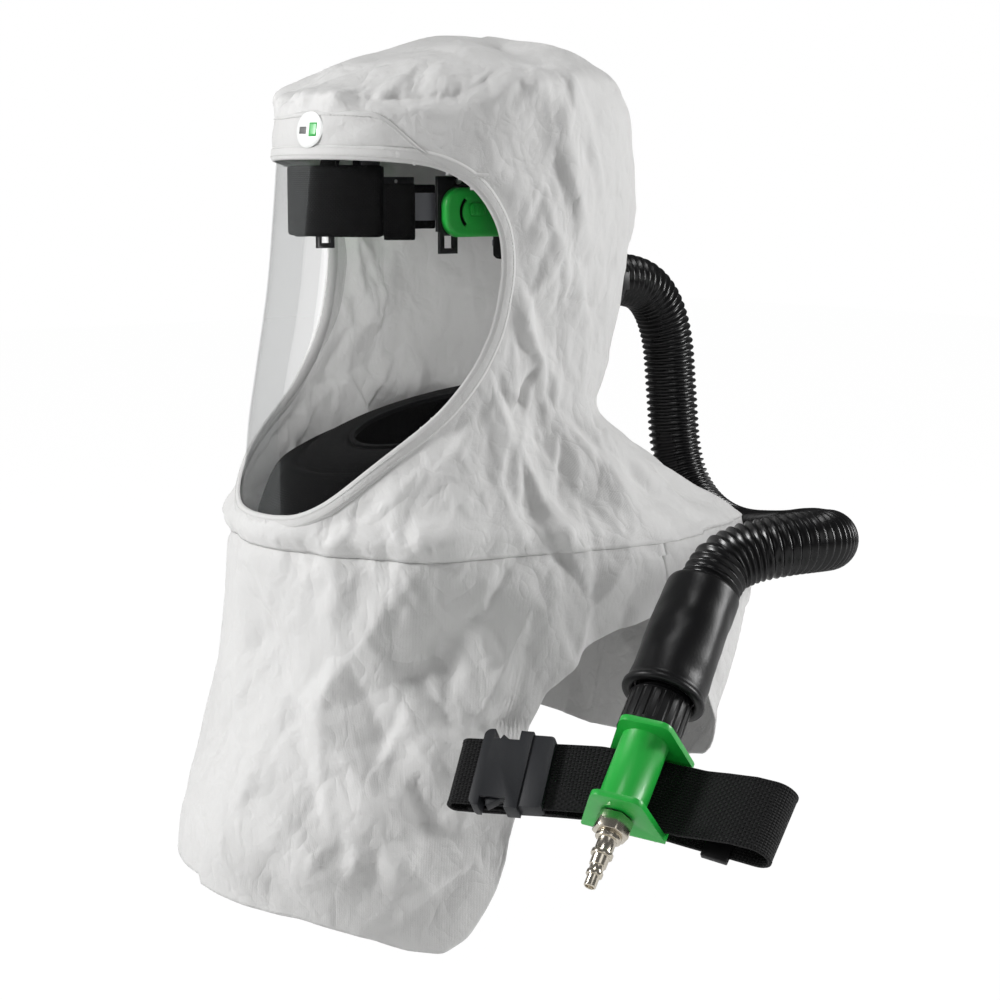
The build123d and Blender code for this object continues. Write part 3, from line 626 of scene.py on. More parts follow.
def gridNormals(x, y, z):
    p = np.stack([x, y, z], -1)
    around = np.roll(p, -1, 1) - np.roll(p, 1, 1)
    down = np.gradient(p, axis=0)
    normal = np.cross(down, around)
    normal /= np.linalg.norm(normal, axis=-1)[..., None] + 1e-12
    outward = np.sum(normal[..., :2] * np.stack([x, y - 20], -1), -1)
    if np.mean(outward) < 0:
        normal = -normal
    return p, normal


def garmentOffset(angle, x, y, z):
    total = crumple(angle, x, y, z) * unrest(angle, z)
    gap = outlineDistance(x, y, z)
    onFront = smoothStep(70, 20, y)
    brow = smoothStep(50, 15, y) * smoothStep(10, 30, z) * smoothStep(88, 66, z)
    calm = (1 - 0.93 * (1 - smoothStep(10, 34, gap)) * onFront) * (1 - 0.85 * brow)
    bulge = 6.0 * np.exp(-((z - garment["neck"] - 14) / 9.0) ** 2) * onFront
    return total * calm + gatherFolds(angle, z) + bulge * (0.4 + 0.6 * calm)


def shellPiece(name, table, radius, rows, lowerEdge, keep):
    angle, x, y, z = buildShell(table, radius, rows, lowerEdge)
    points, normal = gridNormals(x, y, z)
    level = np.exp(-((z - garment["neck"]) / 22.0) ** 2)[..., None]
    normal = normal * (1 - level) + np.stack([np.sin(angle), np.cos(angle), 0 * z], -1) * level
    offset = garmentOffset(angle, x, y, z)
    if lowerEdge is None:
        offset = offset * (0.35 + 0.65 * smoothStep(0, 0.05, rows)[:, None])
    moved = points + normal * offset[..., None]
    moved[..., 2] -= garment["browDip"] * smoothStep(30, -95, y) * smoothStep(60, 118, z)
    clamped = smoothStep(62, 33, np.hypot(x, z - garment["portHeight"])) * (y > 80)
    moved[..., 1] += (garment["portFace"] - moved[..., 1]) * clamped
    faces = gridFaces(len(rows), len(angles), True)
    flat = moved.reshape(-1, 3)
    rest = points.reshape(-1, 3)[faces].mean(1)
    faces = faces[keep(rest)]
    around = (angles % (2 * math.pi)) * 0.16
    along = np.broadcast_to(z[:, :1] * 0 - rows[:, None] * 0.5, z.shape)
    uv = np.stack([np.broadcast_to(around, z.shape), along], -1).reshape(-1, 2)
    used = np.unique(faces)
    index = np.full(len(flat), -1)
    index[used] = np.arange(len(used))
    piece = addPiece(name, flat[used] * mm, index[faces], paint["hood"])
    setUv(piece, uv[used])
    return piece


def makeGarment():
    rows = np.linspace(0, 1, garment["hoodRows"]) ** 0.9
    inVisor = lambda c: (c[:, 1] < 18) & (insideOutline(c[:, 0], c[:, 2]) | (outlineDistance(*c.T) < 4.5))
    crown = shellPiece("hoodCrown", hoodTable, hoodRadius, rows, None, lambda c: ~inVisor(c))
    hemTurn = np.array([math.atan2(px, py - 20) for px, py, pz in capeHem])
    hemHeight = np.array([pz for px, py, pz in capeHem], float)
    order = np.argsort(hemTurn)
    edge = np.interp(np.abs(angles), hemTurn[order], hemHeight[order])
    edge = (np.roll(edge, 1) + 2 * edge + np.roll(edge, -1)) / 4
    lean = smoothStep(1.9, 2.6, np.abs(angles))
    edge = edge + lean * (-0.10) * (np.sin(angles) * 165 - 60) * np.where(angles < 0.3, 1, 0)
    downRows = np.linspace(0, 1, garment["capeRows"])
    split = garment["split"]
    bib = shellPiece("frontBib", capeTable, capeRadius, downRows, edge, lambda c: c[:, 1] < split)
    rear = shellPiece("rearCape", capeTable, capeRadius, downRows, edge, lambda c: c[:, 1] >= split)
    cap = bmesh.new()
    cap.from_mesh(crown.data)
    rim = [e for e in cap.edges if e.is_boundary and min(v.co.z for v in e.verts) > 0.09]
    bmesh.ops.contextual_create(cap, geom=rim)
    cap.to_mesh(crown.data)
    cap.free()
    panels = ((crown, "hood_crown", (0.80, 0.60), 0.33), (bib, "front_bib", (0.72, 0.30), 0.15),
              (rear, "rear_cape", (0.52, 0.20), 0.09))
    for piece, node, flat, cut in panels:
        orient(piece)
        thicken(piece, garment["wall"] * mm)
        piece.data.materials.clear()
        piece.data.materials.append(paint["hood"])
        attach(piece, "root")
        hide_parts(node)
        area = sum(p.area for p in piece.data.polygons) / 2
        print(piece.name, "area", round(area, 3), "faces", len(piece.data.polygons))


makeGarment()


# Visor, its binding and the brow band

def onFront(path, lift):
    x, z = path[:, 0], path[:, 1]
    y = frontY(x, z)
    step = 0.5
    slopeX = (frontY(x + step, z) - frontY(x - step, z)) / (2 * step)
    slopeZ = (frontY(x, z + step) - frontY(x, z - step)) / (2 * step)
    normal = np.stack([slopeX, -np.ones_like(x), slopeZ], 1)
    normal /= np.linalg.norm(normal, axis=1)[:, None]
    point = np.stack([x, y, z], 1)
    return point + normal * lift, normal


def makeVisor():
    rings = 26
    outer = visorOutline(3.0, 220)
    middle = np.array([0, -95.0])
    points, faces = [], []
    for ring in range(rings):
        share = 1 - ring / rings
        points.append(onFront(middle + (outer - middle) * share, -2.2)[0])
    points = np.vstack(points + [onFront(middle[None], -2.2)[0]])
    count = len(outer)
    faces = [tuple(f) for f in gridFaces(rings, count, True)]
    last = (rings - 1) * count
    faces += [(last + k, last + (k + 1) % count, rings * count) for k in range(count)]
    piece = addPiece("visorLens", points * mm, faces, paint["lens"])
    orient(piece)
    thicken(piece, 0.8 * mm, 0)
    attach(piece, "root")
    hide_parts("visor_lens")


def sweepBand(name, place, normal, profile, material, closed=True):
    tangent = np.roll(place, -1, 0) - np.roll(place, 1, 0)
    if not closed:
        tangent = np.gradient(place, axis=0)
    tangent /= np.linalg.norm(tangent, axis=1)[:, None]
    across = np.cross(tangent, normal)
    if np.sum(across[:, 0] * place[:, 0]) < 0:
        across = -across
    across /= np.linalg.norm(across, axis=1)[:, None]
    profile = np.asarray(profile, float)
    ring = place[:, None] + across[:, None] * profile[None, :, 0, None]
    ring = ring + normal[:, None] * profile[None, :, 1, None]
    rows, columns = ring.shape[:2]
    faces = gridFaces(rows + 1 if closed else rows, columns, True)
    faces = np.where(faces >= rows * columns, faces - rows * columns, faces)
    piece = addPiece(name, ring.reshape(-1, 3) * mm, faces, material)
    length = np.concatenate([[0], np.cumsum(np.linalg.norm(np.diff(place, axis=0), axis=1))]) * mm
    uv = np.stack([np.broadcast_to(profile[:, 0] * mm, (rows, columns)),
                   np.broadcast_to(length[:, None], (rows, columns))], -1).reshape(-1, 2)
    setUv(piece, uv)
    if not closed:
        closeEnds(piece)
    return orient(piece)


def closeEnds(piece):
    work = bmesh.new()
    work.from_mesh(piece.data)
    bmesh.ops.holes_fill(work, edges=[e for e in work.edges if e.is_boundary], sides=0)
    work.to_mesh(piece.data)
    work.free()


def acrossOf(place, normal):
    tangent = np.roll(place, -1, 0) - np.roll(place, 1, 0)
    across = np.cross(tangent / np.linalg.norm(tangent, axis=1)[:, None], normal)
    return across if np.sum(across[:, 0] * place[:, 0]) > 0 else -across


binding = {"width": 11.0, "rise": 2.0}


def stitchTree():
    tree = bpy.data.node_groups.new("stitchRun", "GeometryNodeTree")
    face = tree.interface
    face.new_socket(name="Geometry", in_out="INPUT", socket_type="NodeSocketGeometry")
    for label, value in (("Spacing", 0.003), ("Length", 0.0019), ("Radius", 0.0003)):
        face.new_socket(name=label, in_out="INPUT", socket_type="NodeSocketFloat").default_value = value
    face.new_socket(name="Thread", in_out="INPUT", socket_type="NodeSocketMaterial")
    face.new_socket(name="Geometry", in_out="OUTPUT", socket_type="NodeSocketGeometry")
    source, result = tree.nodes.new("NodeGroupInput"), tree.nodes.new("NodeGroupOutput")
    curve = tree.nodes.new("GeometryNodeMeshToCurve")
    even = tree.nodes.new("GeometryNodeResampleCurve")
    even.mode = "LENGTH"
    toPoints = tree.nodes.new("GeometryNodeCurveToPoints")
    toPoints.mode = "EVALUATED"
    grain = tree.nodes.new("GeometryNodeMeshCylinder")
    grain.inputs["Vertices"].default_value = 6
    grain.inputs["Side Segments"].default_value = 1
    place = tree.nodes.new("GeometryNodeInstanceOnPoints")
    real = tree.nodes.new("GeometryNodeRealizeInstances")
    finish = tree.nodes.new("GeometryNodeSetMaterial")
    links = tree.links
    links.new(source.outputs["Geometry"], curve.inputs["Mesh"])
    links.new(curve.outputs["Curve"], even.inputs["Curve"])
    links.new(source.outputs["Spacing"], even.inputs["Length"])
    links.new(even.outputs["Curve"], toPoints.inputs["Curve"])
    links.new(source.outputs["Length"], grain.inputs["Depth"])
    links.new(source.outputs["Radius"], grain.inputs["Radius"])
    links.new(toPoints.outputs["Points"], place.inputs["Points"])
    links.new(toPoints.outputs["Rotation"], place.inputs["Rotation"])
    links.new(grain.outputs["Mesh"], place.inputs["Instance"])
    links.new(place.outputs["Instances"], real.inputs["Geometry"])
    links.new(real.outputs["Geometry"], finish.inputs["Geometry"])
    links.new(source.outputs["Thread"], finish.inputs["Material"])
    links.new(finish.outputs["Geometry"], result.inputs["Geometry"])
    return tree


stitches = stitchTree()


def sewLine(name, place, material, spacing=0.003, length=0.0019, radius=0.0003, closed=True):
    mesh = bpy.data.meshes.new(name)
    count = len(place)
    edges = [(k, k + 1) for k in range(count - 1)] + ([(count - 1, 0)] if closed else [])
    mesh.from_pydata([tuple(p) for p in place * mm], edges, [])
    piece = bpy.data.objects.new(name, mesh)
    bpy.context.scene.collection.objects.link(piece)
    sewn = piece.modifiers.new("stitches", "NODES")
    sewn.node_group = stitches
    names = {s.name: s.identifier for s in stitches.interface.items_tree if s.in_out == "INPUT"}
    sewn[names["Spacing"]] = spacing
    sewn[names["Length"]] = length
    sewn[names["Radius"]] = radius
    sewn[names["Thread"]] = material
    applyModifiers(piece)
    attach(piece, "root")
    return piece


def roundedProfile(width, rise, low=-1.0, steps=7):
    half = width / 2
    turns = np.linspace(0, math.pi, 2 * steps)
    top = [(half * math.cos(a), low + (rise - low) * math.sin(a) ** 0.6) for a in turns]
    return top + [(-half, low - 0.2), (half, low - 0.2)]


def makeBinding():
    path = visorOutline(0.0, 400)
    place, normal = onFront(path, 0.6)
    profile = [(a + binding["width"] / 2, b) for a, b in roundedProfile(binding["width"], binding["rise"])]
    piece = sweepBand("visorBinding", place, normal, profile, paint["binding"])
    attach(piece, "root")
    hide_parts("visor_binding")
    sewLine("bindingStitches", place + normal * 2.05 + acrossOf(place, normal) * 3.2, paint["thread"])
    sewLine("bindingSeam", place + normal * 1.75 + acrossOf(place, normal) * 8.6, paint["thread"])


browBand = {"foot": 42.0, "top": 68.0, "half": 111}


def makeBrowBand():
    half = browBand["half"]
    x = half * np.sin(np.linspace(-math.pi / 2, math.pi / 2, 190))
    v = np.linspace(0, 1, 18)
    shape = np.sin(v * math.pi) ** 0.35
    drop = smoothStep(62, half, np.abs(x))
    foot = browBand["foot"] - 22 * smoothStep(84, half, np.abs(x))
    top = browBand["top"] - 44 * drop + 1.0 * np.sin(x / 17.0)
    grid = []
    for share, crown in zip(v, shape):
        z = foot + (top - foot) * share
        place, normal = onFront(np.stack([x, z], 1), 0)
        fold = 0.6 * softField(x / 16 + 40, z / 9, 400, 71)
        grid.append(place + normal * (0.4 + 2.2 * crown + fold * crown)[:, None])
    grid = np.array(grid)
    piece = addPiece("browBand", grid.reshape(-1, 3) * mm, gridFaces(len(v), len(x), False), paint["binding"])
    setUv(piece, np.stack([np.tile(x, len(v)), np.repeat(v * 30, len(x))], 1) * mm)
    orient(piece)
    thicken(piece, 1.0 * mm)
    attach(piece, "root")
    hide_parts("brow_band")
    seam = np.stack([x, top - 3.5], 1)
    sewLine("browStitches", onFront(seam, 2.7)[0], paint["thread"], closed=False)
    return browBand["foot"], browBand["top"]


def makeLabel(middle):
    rings, around = 8, 64
    turn = np.linspace(0, 2 * math.pi, around, endpoint=False)
    rows = []
    for ring in range(rings + 1):
        radius = 13.0 * (1 - ring / rings) + 0.01
        path = np.stack([18 + radius * np.cos(turn), middle + radius * np.sin(turn)], 1)
        rows.append(onFront(path, 3.5 if ring else 3.0)[0])
    piece = addPiece("browLabel", np.vstack(rows) * mm, gridFaces(rings + 1, around, True), paint["label"])
    orient(piece)
    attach(piece, "root")
    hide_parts("brow_label")
    for name, left, right, low, high, material in (
            ("labelBarGreen", 19, 26, -5, 5, "labelGreen"), ("labelBarGrey", 9, 16, -3, 2, "labelGrey")):
        u, v = np.meshgrid(np.linspace(left, right, 9), np.linspace(low, high, 7))
        path = np.stack([u.ravel(), middle + v.ravel()], 1)
        mark = addPiece(name, onFront(path, 3.62)[0] * mm, gridFaces(7, 9, False), paint[material])
        orient(mark)
        thicken(mark, 0.1 * mm)
        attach(mark, "root")


makeVisor()
makeBinding()
bandLow, bandHigh = makeBrowBand()
makeLabel((bandLow + bandHigh) / 2)
print("visor, binding and brow band made")


# Inner collar
collar = {
    "opening": (58, 68), "rim": (92, 115), "foot": (150, 188), "middle": 10, "height": -168, "footMiddle": 39,
    "footHeight": -248, "tilt": 14, "puff": 13, "clear": 19,
}


def insideHood(place):
    order = np.argsort(hoodTable[:, 0])
    middle = np.interp(place[:, 2], hoodTable[order, 0], hoodTable[order, 6])
    turn = np.arctan2(place[:, 0], place[:, 1] - middle) % (2 * math.pi)
    column = np.round(turn / (2 * math.pi) * len(angles)).astype(int) % len(angles)
    heights = hoodTable[order, 0]
    reach = np.array([np.interp(z, heights, hoodRadius[order, c]) for z, c in zip(place[:, 2], column)])
    own = np.hypot(place[:, 0], place[:, 1] - middle)
    share = np.minimum(1, (reach - collar["clear"]) / own)
    return np.stack([place[:, 0] * share, middle + (place[:, 1] - middle) * share, place[:, 2]], 1)


def makeCollar():
    around = 220
    turn = np.linspace(0, 2 * math.pi, around, endpoint=False)
    tilt = math.radians(collar["tilt"])
    rows = []
    for size, drop in ((0.0, 0), (0.25, 1.2), (0.5, 1.5), (0.75, 0.5), (0.92, -1.5), (1.0, -5)):
        a = collar["opening"][0] + (collar["rim"][0] - collar["opening"][0]) * size
        b = collar["opening"][1] + (collar["rim"][1] - collar["opening"][1]) * size
        x, y, z = a * np.sin(turn), b * np.cos(turn), np.full(around, float(drop))
        rows.append(np.stack([x, collar["middle"] + y * math.cos(tilt) - z * math.sin(tilt),
                              collar["height"] + y * math.sin(tilt) + z * math.cos(tilt)], 1))
    rim = rows[-1]
    footX = collar["foot"][0] * np.sin(turn)
    footY = collar["footMiddle"] + collar["foot"][1] * np.cos(turn)
    foot = np.stack([footX, footY, np.full(around, float(collar["footHeight"]))], 1)
    for share in np.linspace(0.08, 1, 24):
        swell = math.sin(share * math.pi) * 3
        place = rim * (1 - share) + foot * share
        place[:, 2] += collar["puff"] * math.sin(min(share * 1.6, 1) * math.pi)
        away = place - [0, 25, 0]
        away[:, 2] = 0
        away /= np.linalg.norm(away, axis=1)[:, None]
        wave = softField(turn / (2 * math.pi) * 26, np.full(around, share * 3), 26, 5)
        fold = 1.5 * wave * math.sin(share * math.pi)
        rows.append(insideHood(place + away * (swell + fold)[:, None]))
    grid = np.array(rows)
    faces = gridFaces(len(rows), around, True)
    piece = addPiece("innerCollar", grid.reshape(-1, 3) * mm, faces, paint["collar"])
    down = np.repeat(np.arange(len(rows)) * 0.005, around)
    setUv(piece, np.stack([np.tile(turn * 0.12, len(rows)), down], 1))
    orient(piece)
    thicken(piece, 1.2 * mm)
    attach(piece, "root")
    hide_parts("inner_collar")


makeCollar()
print("collar made")


# Carried-over nodes: bevelled copies of the hard parts, softened copies of the pads

def copyNode(node, name):
    mesh = nodes[node].data.copy()
    mesh.name = name
    work = bmesh.new()
    work.from_mesh(mesh)
    bmesh.ops.remove_doubles(work, verts=work.verts, dist=2e-6)
    work.to_mesh(mesh)
    work.free()
    piece = bpy.data.objects.new(name, mesh)
    bpy.context.scene.collection.objects.link(piece)
    mesh.materials.clear()
    return piece


def bodyOf(node):
    return nodes[node]["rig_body"]


def hardPiece(node, name, material, width, angle=32, segments=2):
    piece = copyNode(node, name)
    work = bmesh.new()
    work.from_mesh(piece.data)
    bmesh.ops.dissolve_limit(work, angle_limit=math.radians(1.5), verts=work.verts, edges=work.edges)
    work.to_mesh(piece.data)
    work.free()
    bevel = piece.modifiers.new("edges", "BEVEL")
    bevel.width = width * mm
    bevel.segments = segments
    bevel.limit_method = "ANGLE"
    bevel.angle_limit = math.radians(angle)
    bevel.use_clamp_overlap = True
    applyModifiers(piece)
    piece.data.materials.append(paint[material])
    piece.data.polygons.foreach_set("use_smooth", [True] * len(piece.data.polygons))
    piece.data.set_sharp_from_angle(angle=math.radians(40))
    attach(piece, bodyOf(node))
    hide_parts(node)
    return piece


def padPiece(node, name, material, voxel, rounds):
    piece = copyNode(node, name)
    remesh = piece.modifiers.new("even", "REMESH")
    remesh.mode = "VOXEL"
    remesh.voxel_size = voxel * mm
    soften = piece.modifiers.new("soften", "SMOOTH")
    soften.iterations = rounds
    soften.factor = 0.5
    applyModifiers(piece)
    piece.data.materials.append(paint[material])
    piece.data.polygons.foreach_set("use_smooth", [True] * len(piece.data.polygons))
    co = np.array([v.co for v in piece.data.vertices])
    turn = np.arctan2(co[:, 0], -co[:, 1])
    setUv(piece, np.stack([turn * 0.1, co[:, 2]], 1))
    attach(piece, bodyOf(node))
    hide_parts(node)
    return piece


hardParts = {
    "lock_cover_left": ("lockCoverLeft", "green", 0.5), "lock_cover_right": ("lockCoverRight", "green", 0.5),
    "lock_button_left": ("lockButtonLeft", "green", 0.25),
    "lock_button_right": ("lockButtonRight", "green", 0.25),
    "side_bracket_left": ("sideBracketLeft", "black", 0.5),
    "side_bracket_right": ("sideBracketRight", "black", 0.5),
    "crown_frame": ("crownFrame", "black", 0.5), "crown_cross_strap": ("crownCrossStrap", "black", 0.5),
    "ratchet_housing": ("ratchetHousing", "black", 0.4), "ratchet_cover": ("ratchetCover", "black", 0.5),
    "ratchet_knob": ("ratchetKnob", "black", 0.5), "valve_body": ("valveBody", "green", 0.8),
    "belt_plate": ("beltPlate", "green", 0.5), "hex_fitting": ("hexFitting", "nickel", 0.4),
    "quick_nipple": ("quickNipple", "nickel", 0.35), "coupling_nut": ("couplingNut", "black", 0.4),
    "buckle_female": ("buckleSocket", "charcoal", 0.9), "buckle_male": ("bucklePlug", "charcoal", 0.8),
    "buckle_prong_upper": ("buckleProngUpper", "charcoal", 0.6),
    "buckle_prong_lower": ("buckleProngLower", "charcoal", 0.6), "belt_keeper": ("beltKeeper", "black", 0.8),
    "inlet_flange": ("inletFlange", "black", 0.6), "inlet_lock_ring": ("inletLockRing", "black", 0.5),
}
for node, (name, material, width) in hardParts.items():
    hardPiece(node, name, material, width)
print("hard parts bevelled")

pads = {
    "brow_pad": ("browPad", 1.6, 6), "temple_pads": ("templePads", 1.4, 4), "crown_pad": ("crownPad", 1.6, 6),
    "nape_pad": ("napePad", 1.6, 6), "sweatband": ("sweatBand", 1.2, 3),
}
for node, (name, voxel, rounds) in pads.items():
    padPiece(node, name, "pad", voxel, rounds)
print("pads softened")

plainParts = {
    "hose_top_cuff": "rubber", "inlet_backing": "black", "inlet_elbow": "grey", "air_duct": "grey",
    "headband_strap": "grey", "rack_tail_left": "grey", "rack_tail_right": "grey", "ratchet_pinion": "black",
    "collar_elastic": "collar", "flange_screws": "steel", "bracket_screws": "steel",
    "button_spring_left": "steel",
    "button_spring_right": "steel", "silencer": "brass", "flow_orifice": "brass", "check_poppet": "brass",
    "poppet_spring": "steel", "seal_washer": "rubber", "belt_plate_screws": "steel", "swivel_tail": "black",
    "coupling_o_ring": "rubber",
}
for node, material in plainParts.items():
    nodes[node].data.materials.clear()
    nodes[node].data.materials.append(paint[material])


# Breathing hose: the route's own points, in metres
valve = {
    "centre": Vector((0.336, -0.080, -0.361)), "axis": Vector((-0.274, 0.673, 0.687)).normalized(),
    "run": Vector((0.885, 0.457, -0.095)), "sleeveStart": 0.060, "sleeveLength": 0.090,
}
hose = {
    "radius": 0.022, "pitch": 0.0056, "depth": 0.0028, "sides": 40, "length": 0.7826,
    "route": [
        (0, 0.186, -0.062), (0, 0.216, -0.062), (-0.001, 0.243, -0.079), (-0.001, 0.258, -0.112),
        (0, 0.262, -0.160), (0.004, 0.265, -0.222), (0.026, 0.269, -0.260), (0.072, 0.269, -0.277),
        (0.146, 0.253, -0.268), (0.213, 0.212, -0.252), (0.266, 0.172, -0.243), (0.301, 0.138, -0.235),
        (0.314, 0.111, -0.231), (0.310, 0.081, -0.231), (0.295, 0.054, -0.237),
    ],
}


def routeLine(points, name):
    curve = bpy.data.curves.new(name, "CURVE")
    curve.dimensions = "3D"
    spline = curve.splines.new("NURBS")
    spline.points.add(len(points) - 1)
    for target, point in zip(spline.points, points):
        target.co = (*point, 1)
    spline.order_u = 3
    spline.use_endpoint_u = True
    spline.resolution_u = 24
    holder = bpy.data.objects.new(name, curve)
    bpy.context.scene.collection.objects.link(holder)
    graph = bpy.context.evaluated_depsgraph_get()
    graph.update()
    mesh = bpy.data.meshes.new_from_object(holder.evaluated_get(graph), depsgraph=graph)
    line = np.array([v.co for v in mesh.vertices])
    bpy.data.objects.remove(holder)
    bpy.data.curves.remove(curve)
    bpy.data.meshes.remove(mesh)
    return line


def evenly(line, step):
    length = np.concatenate([[0], np.cumsum(np.linalg.norm(np.diff(line, axis=0), axis=1))])
    count = int(round(length[-1] / step)) + 1
    s = np.linspace(0, length[-1], count)
    return np.stack([np.interp(s, length, line[:, k]) for k in range(3)], 1), s


def carriedFrames(line, start):
    tangent = np.gradient(line, axis=0)
    tangent /= np.linalg.norm(tangent, axis=1)[:, None]
    side = np.zeros_like(line)
    side[0] = start
    for k in range(len(line)):
        if k:
            side[k] = side[k - 1]
        side[k] -= tangent[k] * (side[k] @ tangent[k])
        side[k] /= np.linalg.norm(side[k])
    return tangent, side, np.cross(tangent, side)


def makeHose():
    turn = valve["centre"] + valve["axis"] * 0.164
    end = valve["centre"] + valve["axis"] * 0.066
    line = routeLine(hose["route"] + [tuple(turn), tuple(end)], "hoseRoute")
    path, s = evenly(line, hose["pitch"] / 6)
    side, up = carriedFrames(path, (1, 0, 0))[1:]
    phase = (s / hose["pitch"]) % 1
    rib = np.clip(np.sin(phase / 0.62 * math.pi), 0, 1) ** 0.55 * (phase < 0.62)
    radius = hose["radius"] - hose["depth"] * (1 - rib)
    around = np.linspace(0, 2 * math.pi, hose["sides"], endpoint=False)
    ring = (path[:, None] + radius[:, None, None] * (side[:, None] * np.cos(around)[None, :, None]
                                                     + up[:, None] * np.sin(around)[None, :, None]))
    faces = gridFaces(len(path), hose["sides"], True)
    piece = addPiece("breathingHose", ring.reshape(-1, 3), faces, paint["hose"])
    orient(piece)
    thicken(piece, 0.0015)
    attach(piece, "root")
    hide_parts("breathing_hose")
    print("hose length", round(float(s[-1]), 4))


makeHose()


# Smooth sleeve over the lower end of the hose
sleeve = {"radius": 27.5, "inner": 22.4, "lip": 1.2}


def valvePoint(x, y, z):
    run = (valve["run"] - valve["axis"] * valve["run"].dot(valve["axis"])).normalized()
    across = valve["axis"].cross(run)
    return valve["centre"] + run * (x * mm) + across * (y * mm) + valve["axis"] * (z * mm)


def makeSleeve():
    low = valve["sleeveStart"] * 1000
    high = low + valve["sleeveLength"] * 1000
    around = 96
    lip = sleeve["lip"]
    outside = [(low, -3.4), (low + 0.3, 0.6), (low + 1.6, lip), (low + 3.6, lip), (low + 5.0, 0.3),
               (low + 5.8, -0.6)]
    for z in np.linspace(low + 8, high - 5, 34):
        outside.append((z, -0.5))
    outside += [(high - 3, -0.5), (high - 1.4, -0.9), (high - 0.4, -1.8), (high, -3.2)]
    rows = []
    for z, grow in outside:
        ring = []
        for k in range(around):
            turn = 2 * math.pi * k / around
            share = (z - low) / (high - low)
            wave = 0.55 * math.sin(3 * turn + 5 * share) * math.sin(math.pi * share)
            cell = np.array([turn / (2 * math.pi) * 14])
            wave += float(0.5 * softField(cell, np.array([z / 11.0]), 14, 9)[0])
            wave *= smoothStep(0.06, 0.2, share) * smoothStep(0, 0.12, 1 - share)
            radius = sleeve["radius"] + grow + wave - 1.2 * share
            ring.append(valvePoint(radius * math.cos(turn), radius * math.sin(turn), z))
        rows.append(ring)
    bore = sleeve["inner"]
    turns = [2 * math.pi * k / around for k in range(around)]
    for z in (high - 0.5, (low + high) / 2, low + 0.5):
        rows.append([valvePoint(bore * math.cos(a), bore * math.sin(a), z) for a in turns])
    points = np.array([tuple(p) for row in rows for p in row])
    faces = gridFaces(len(rows) + 1, around, True)
    faces = np.where(faces >= len(points), faces - len(points), faces)
    piece = addPiece("hoseSleeve", points, faces, paint["rubber"])
    orient(piece)
    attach(piece, "root")
    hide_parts("hose_sleeve")


makeSleeve()
print("sleeve made")


# Belt
belt = {
    "front": 17, "back": 27, "wall": 2, "width": 50, "left": -98, "right": 72, "pivot": 30,
    "leftDroop": 9, "rightDroop": 4, "buckleLeft": -74, "buckleRight": -34, "swell": 7,
}


def beltPoint(x, y, z):
    share = float(smoothStep(-6, 6, abs(x) - belt["pivot"])) if abs(x) < belt["pivot"] + 6 else 1.0
    if abs(x) <= belt["pivot"] - 6:
        return valvePoint(x, y, z)
    sign = 1 if x > 0 else -1
    droop = math.radians(belt["rightDroop"] if sign > 0 else -belt["leftDroop"]) * share
    reach = x - sign * belt["pivot"]
    bentX = sign * belt["pivot"] + reach * math.cos(droop) + z * math.sin(droop)
    bentZ = -reach * math.sin(droop) + z * math.cos(droop)
    return valvePoint(bentX, y, bentZ)


def stripPiece(name, path, material, width, wall):
    path = np.asarray(path, float)
    path, s = evenly(np.column_stack([path, np.zeros(len(path))]), 1.5)
    path = path[:, :2]
    tangent = np.gradient(path, axis=0)
    tangent /= np.linalg.norm(tangent, axis=1)[:, None]
    normal = np.stack([-tangent[:, 1], tangent[:, 0]], 1)
    half = width / 2
    edge = [(-half, 0.15), (-half + 0.6, 0.62), (-half + 2.2, 0.66), (-half + 3.0, 0.5)]
    top = edge + [(v, 0.5) for v in np.linspace(-half + 5, half - 5, 15)] + [(-a, b) for a, b in edge[::-1]]
    loop = [(a, b * wall) for a, b in top] + [(a, -b * wall) for a, b in top[::-1]]
    points, uv = [], []
    for k, (p, n) in enumerate(zip(path, normal)):
        sway = 0.8 * math.sin(s[k] / 23.0)
        for v, lift in loop:
            points.append(beltPoint(p[0] + n[0] * lift, p[1] + n[1] * lift, v + sway))
            uv.append((v * mm, s[k] * mm))
    faces = gridFaces(len(path), len(loop), True)
    piece = addPiece(name, np.array([tuple(p) for p in points]), faces, material)
    setUv(piece, uv)
    closeEnds(piece)
    return orient(piece)


def foldArc(centre, radius, start, end, middle):
    turns = np.linspace(math.radians(start), math.radians(end), 13)
    return [(centre + radius * math.cos(a), middle + radius * math.sin(a)) for a in turns]


def makeBelt():
    front = belt["front"] + belt["wall"] / 2
    back = belt["back"] + belt["wall"] / 2
    middle, radius = (front + back) / 2, (back - front) / 2
    rightEnd = belt["pivot"] + belt["right"] - radius - 1
    leftEnd = -belt["pivot"] + belt["left"] + radius + 1
    buckle = -belt["pivot"] + belt["buckleRight"]
    swell = belt["swell"]
    wide = radius + swell
    path = [(buckle + 2, front), (-20, front), (24, front), (40, front - 0.4 * swell),
            (56, front - 1.2 * swell), (76, front - 1.95 * swell)]
    path += foldArc(rightEnd - swell, wide, -87, 90, middle - swell)
    path += [(60, back), (0, back), (-60, back), (leftEnd + 6, back)]
    path += foldArc(leftEnd, radius, 90, 270, middle)
    path += [(-belt["pivot"] + belt["buckleLeft"] - 2, front)]
    web = stripPiece("beltWebbing", path, paint["web"], belt["width"], belt["wall"])
    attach(web, "root")
    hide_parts("belt_webbing")
    under = [(-belt["pivot"] - 84, back - 2.2), (-80, back - 2.1), (-belt["pivot"] - 16, back - 2.2)]
    tail = stripPiece("beltTail", under, paint["web"], belt["width"], 1.9)
    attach(tail, "root")


makeBelt()
print("belt made")


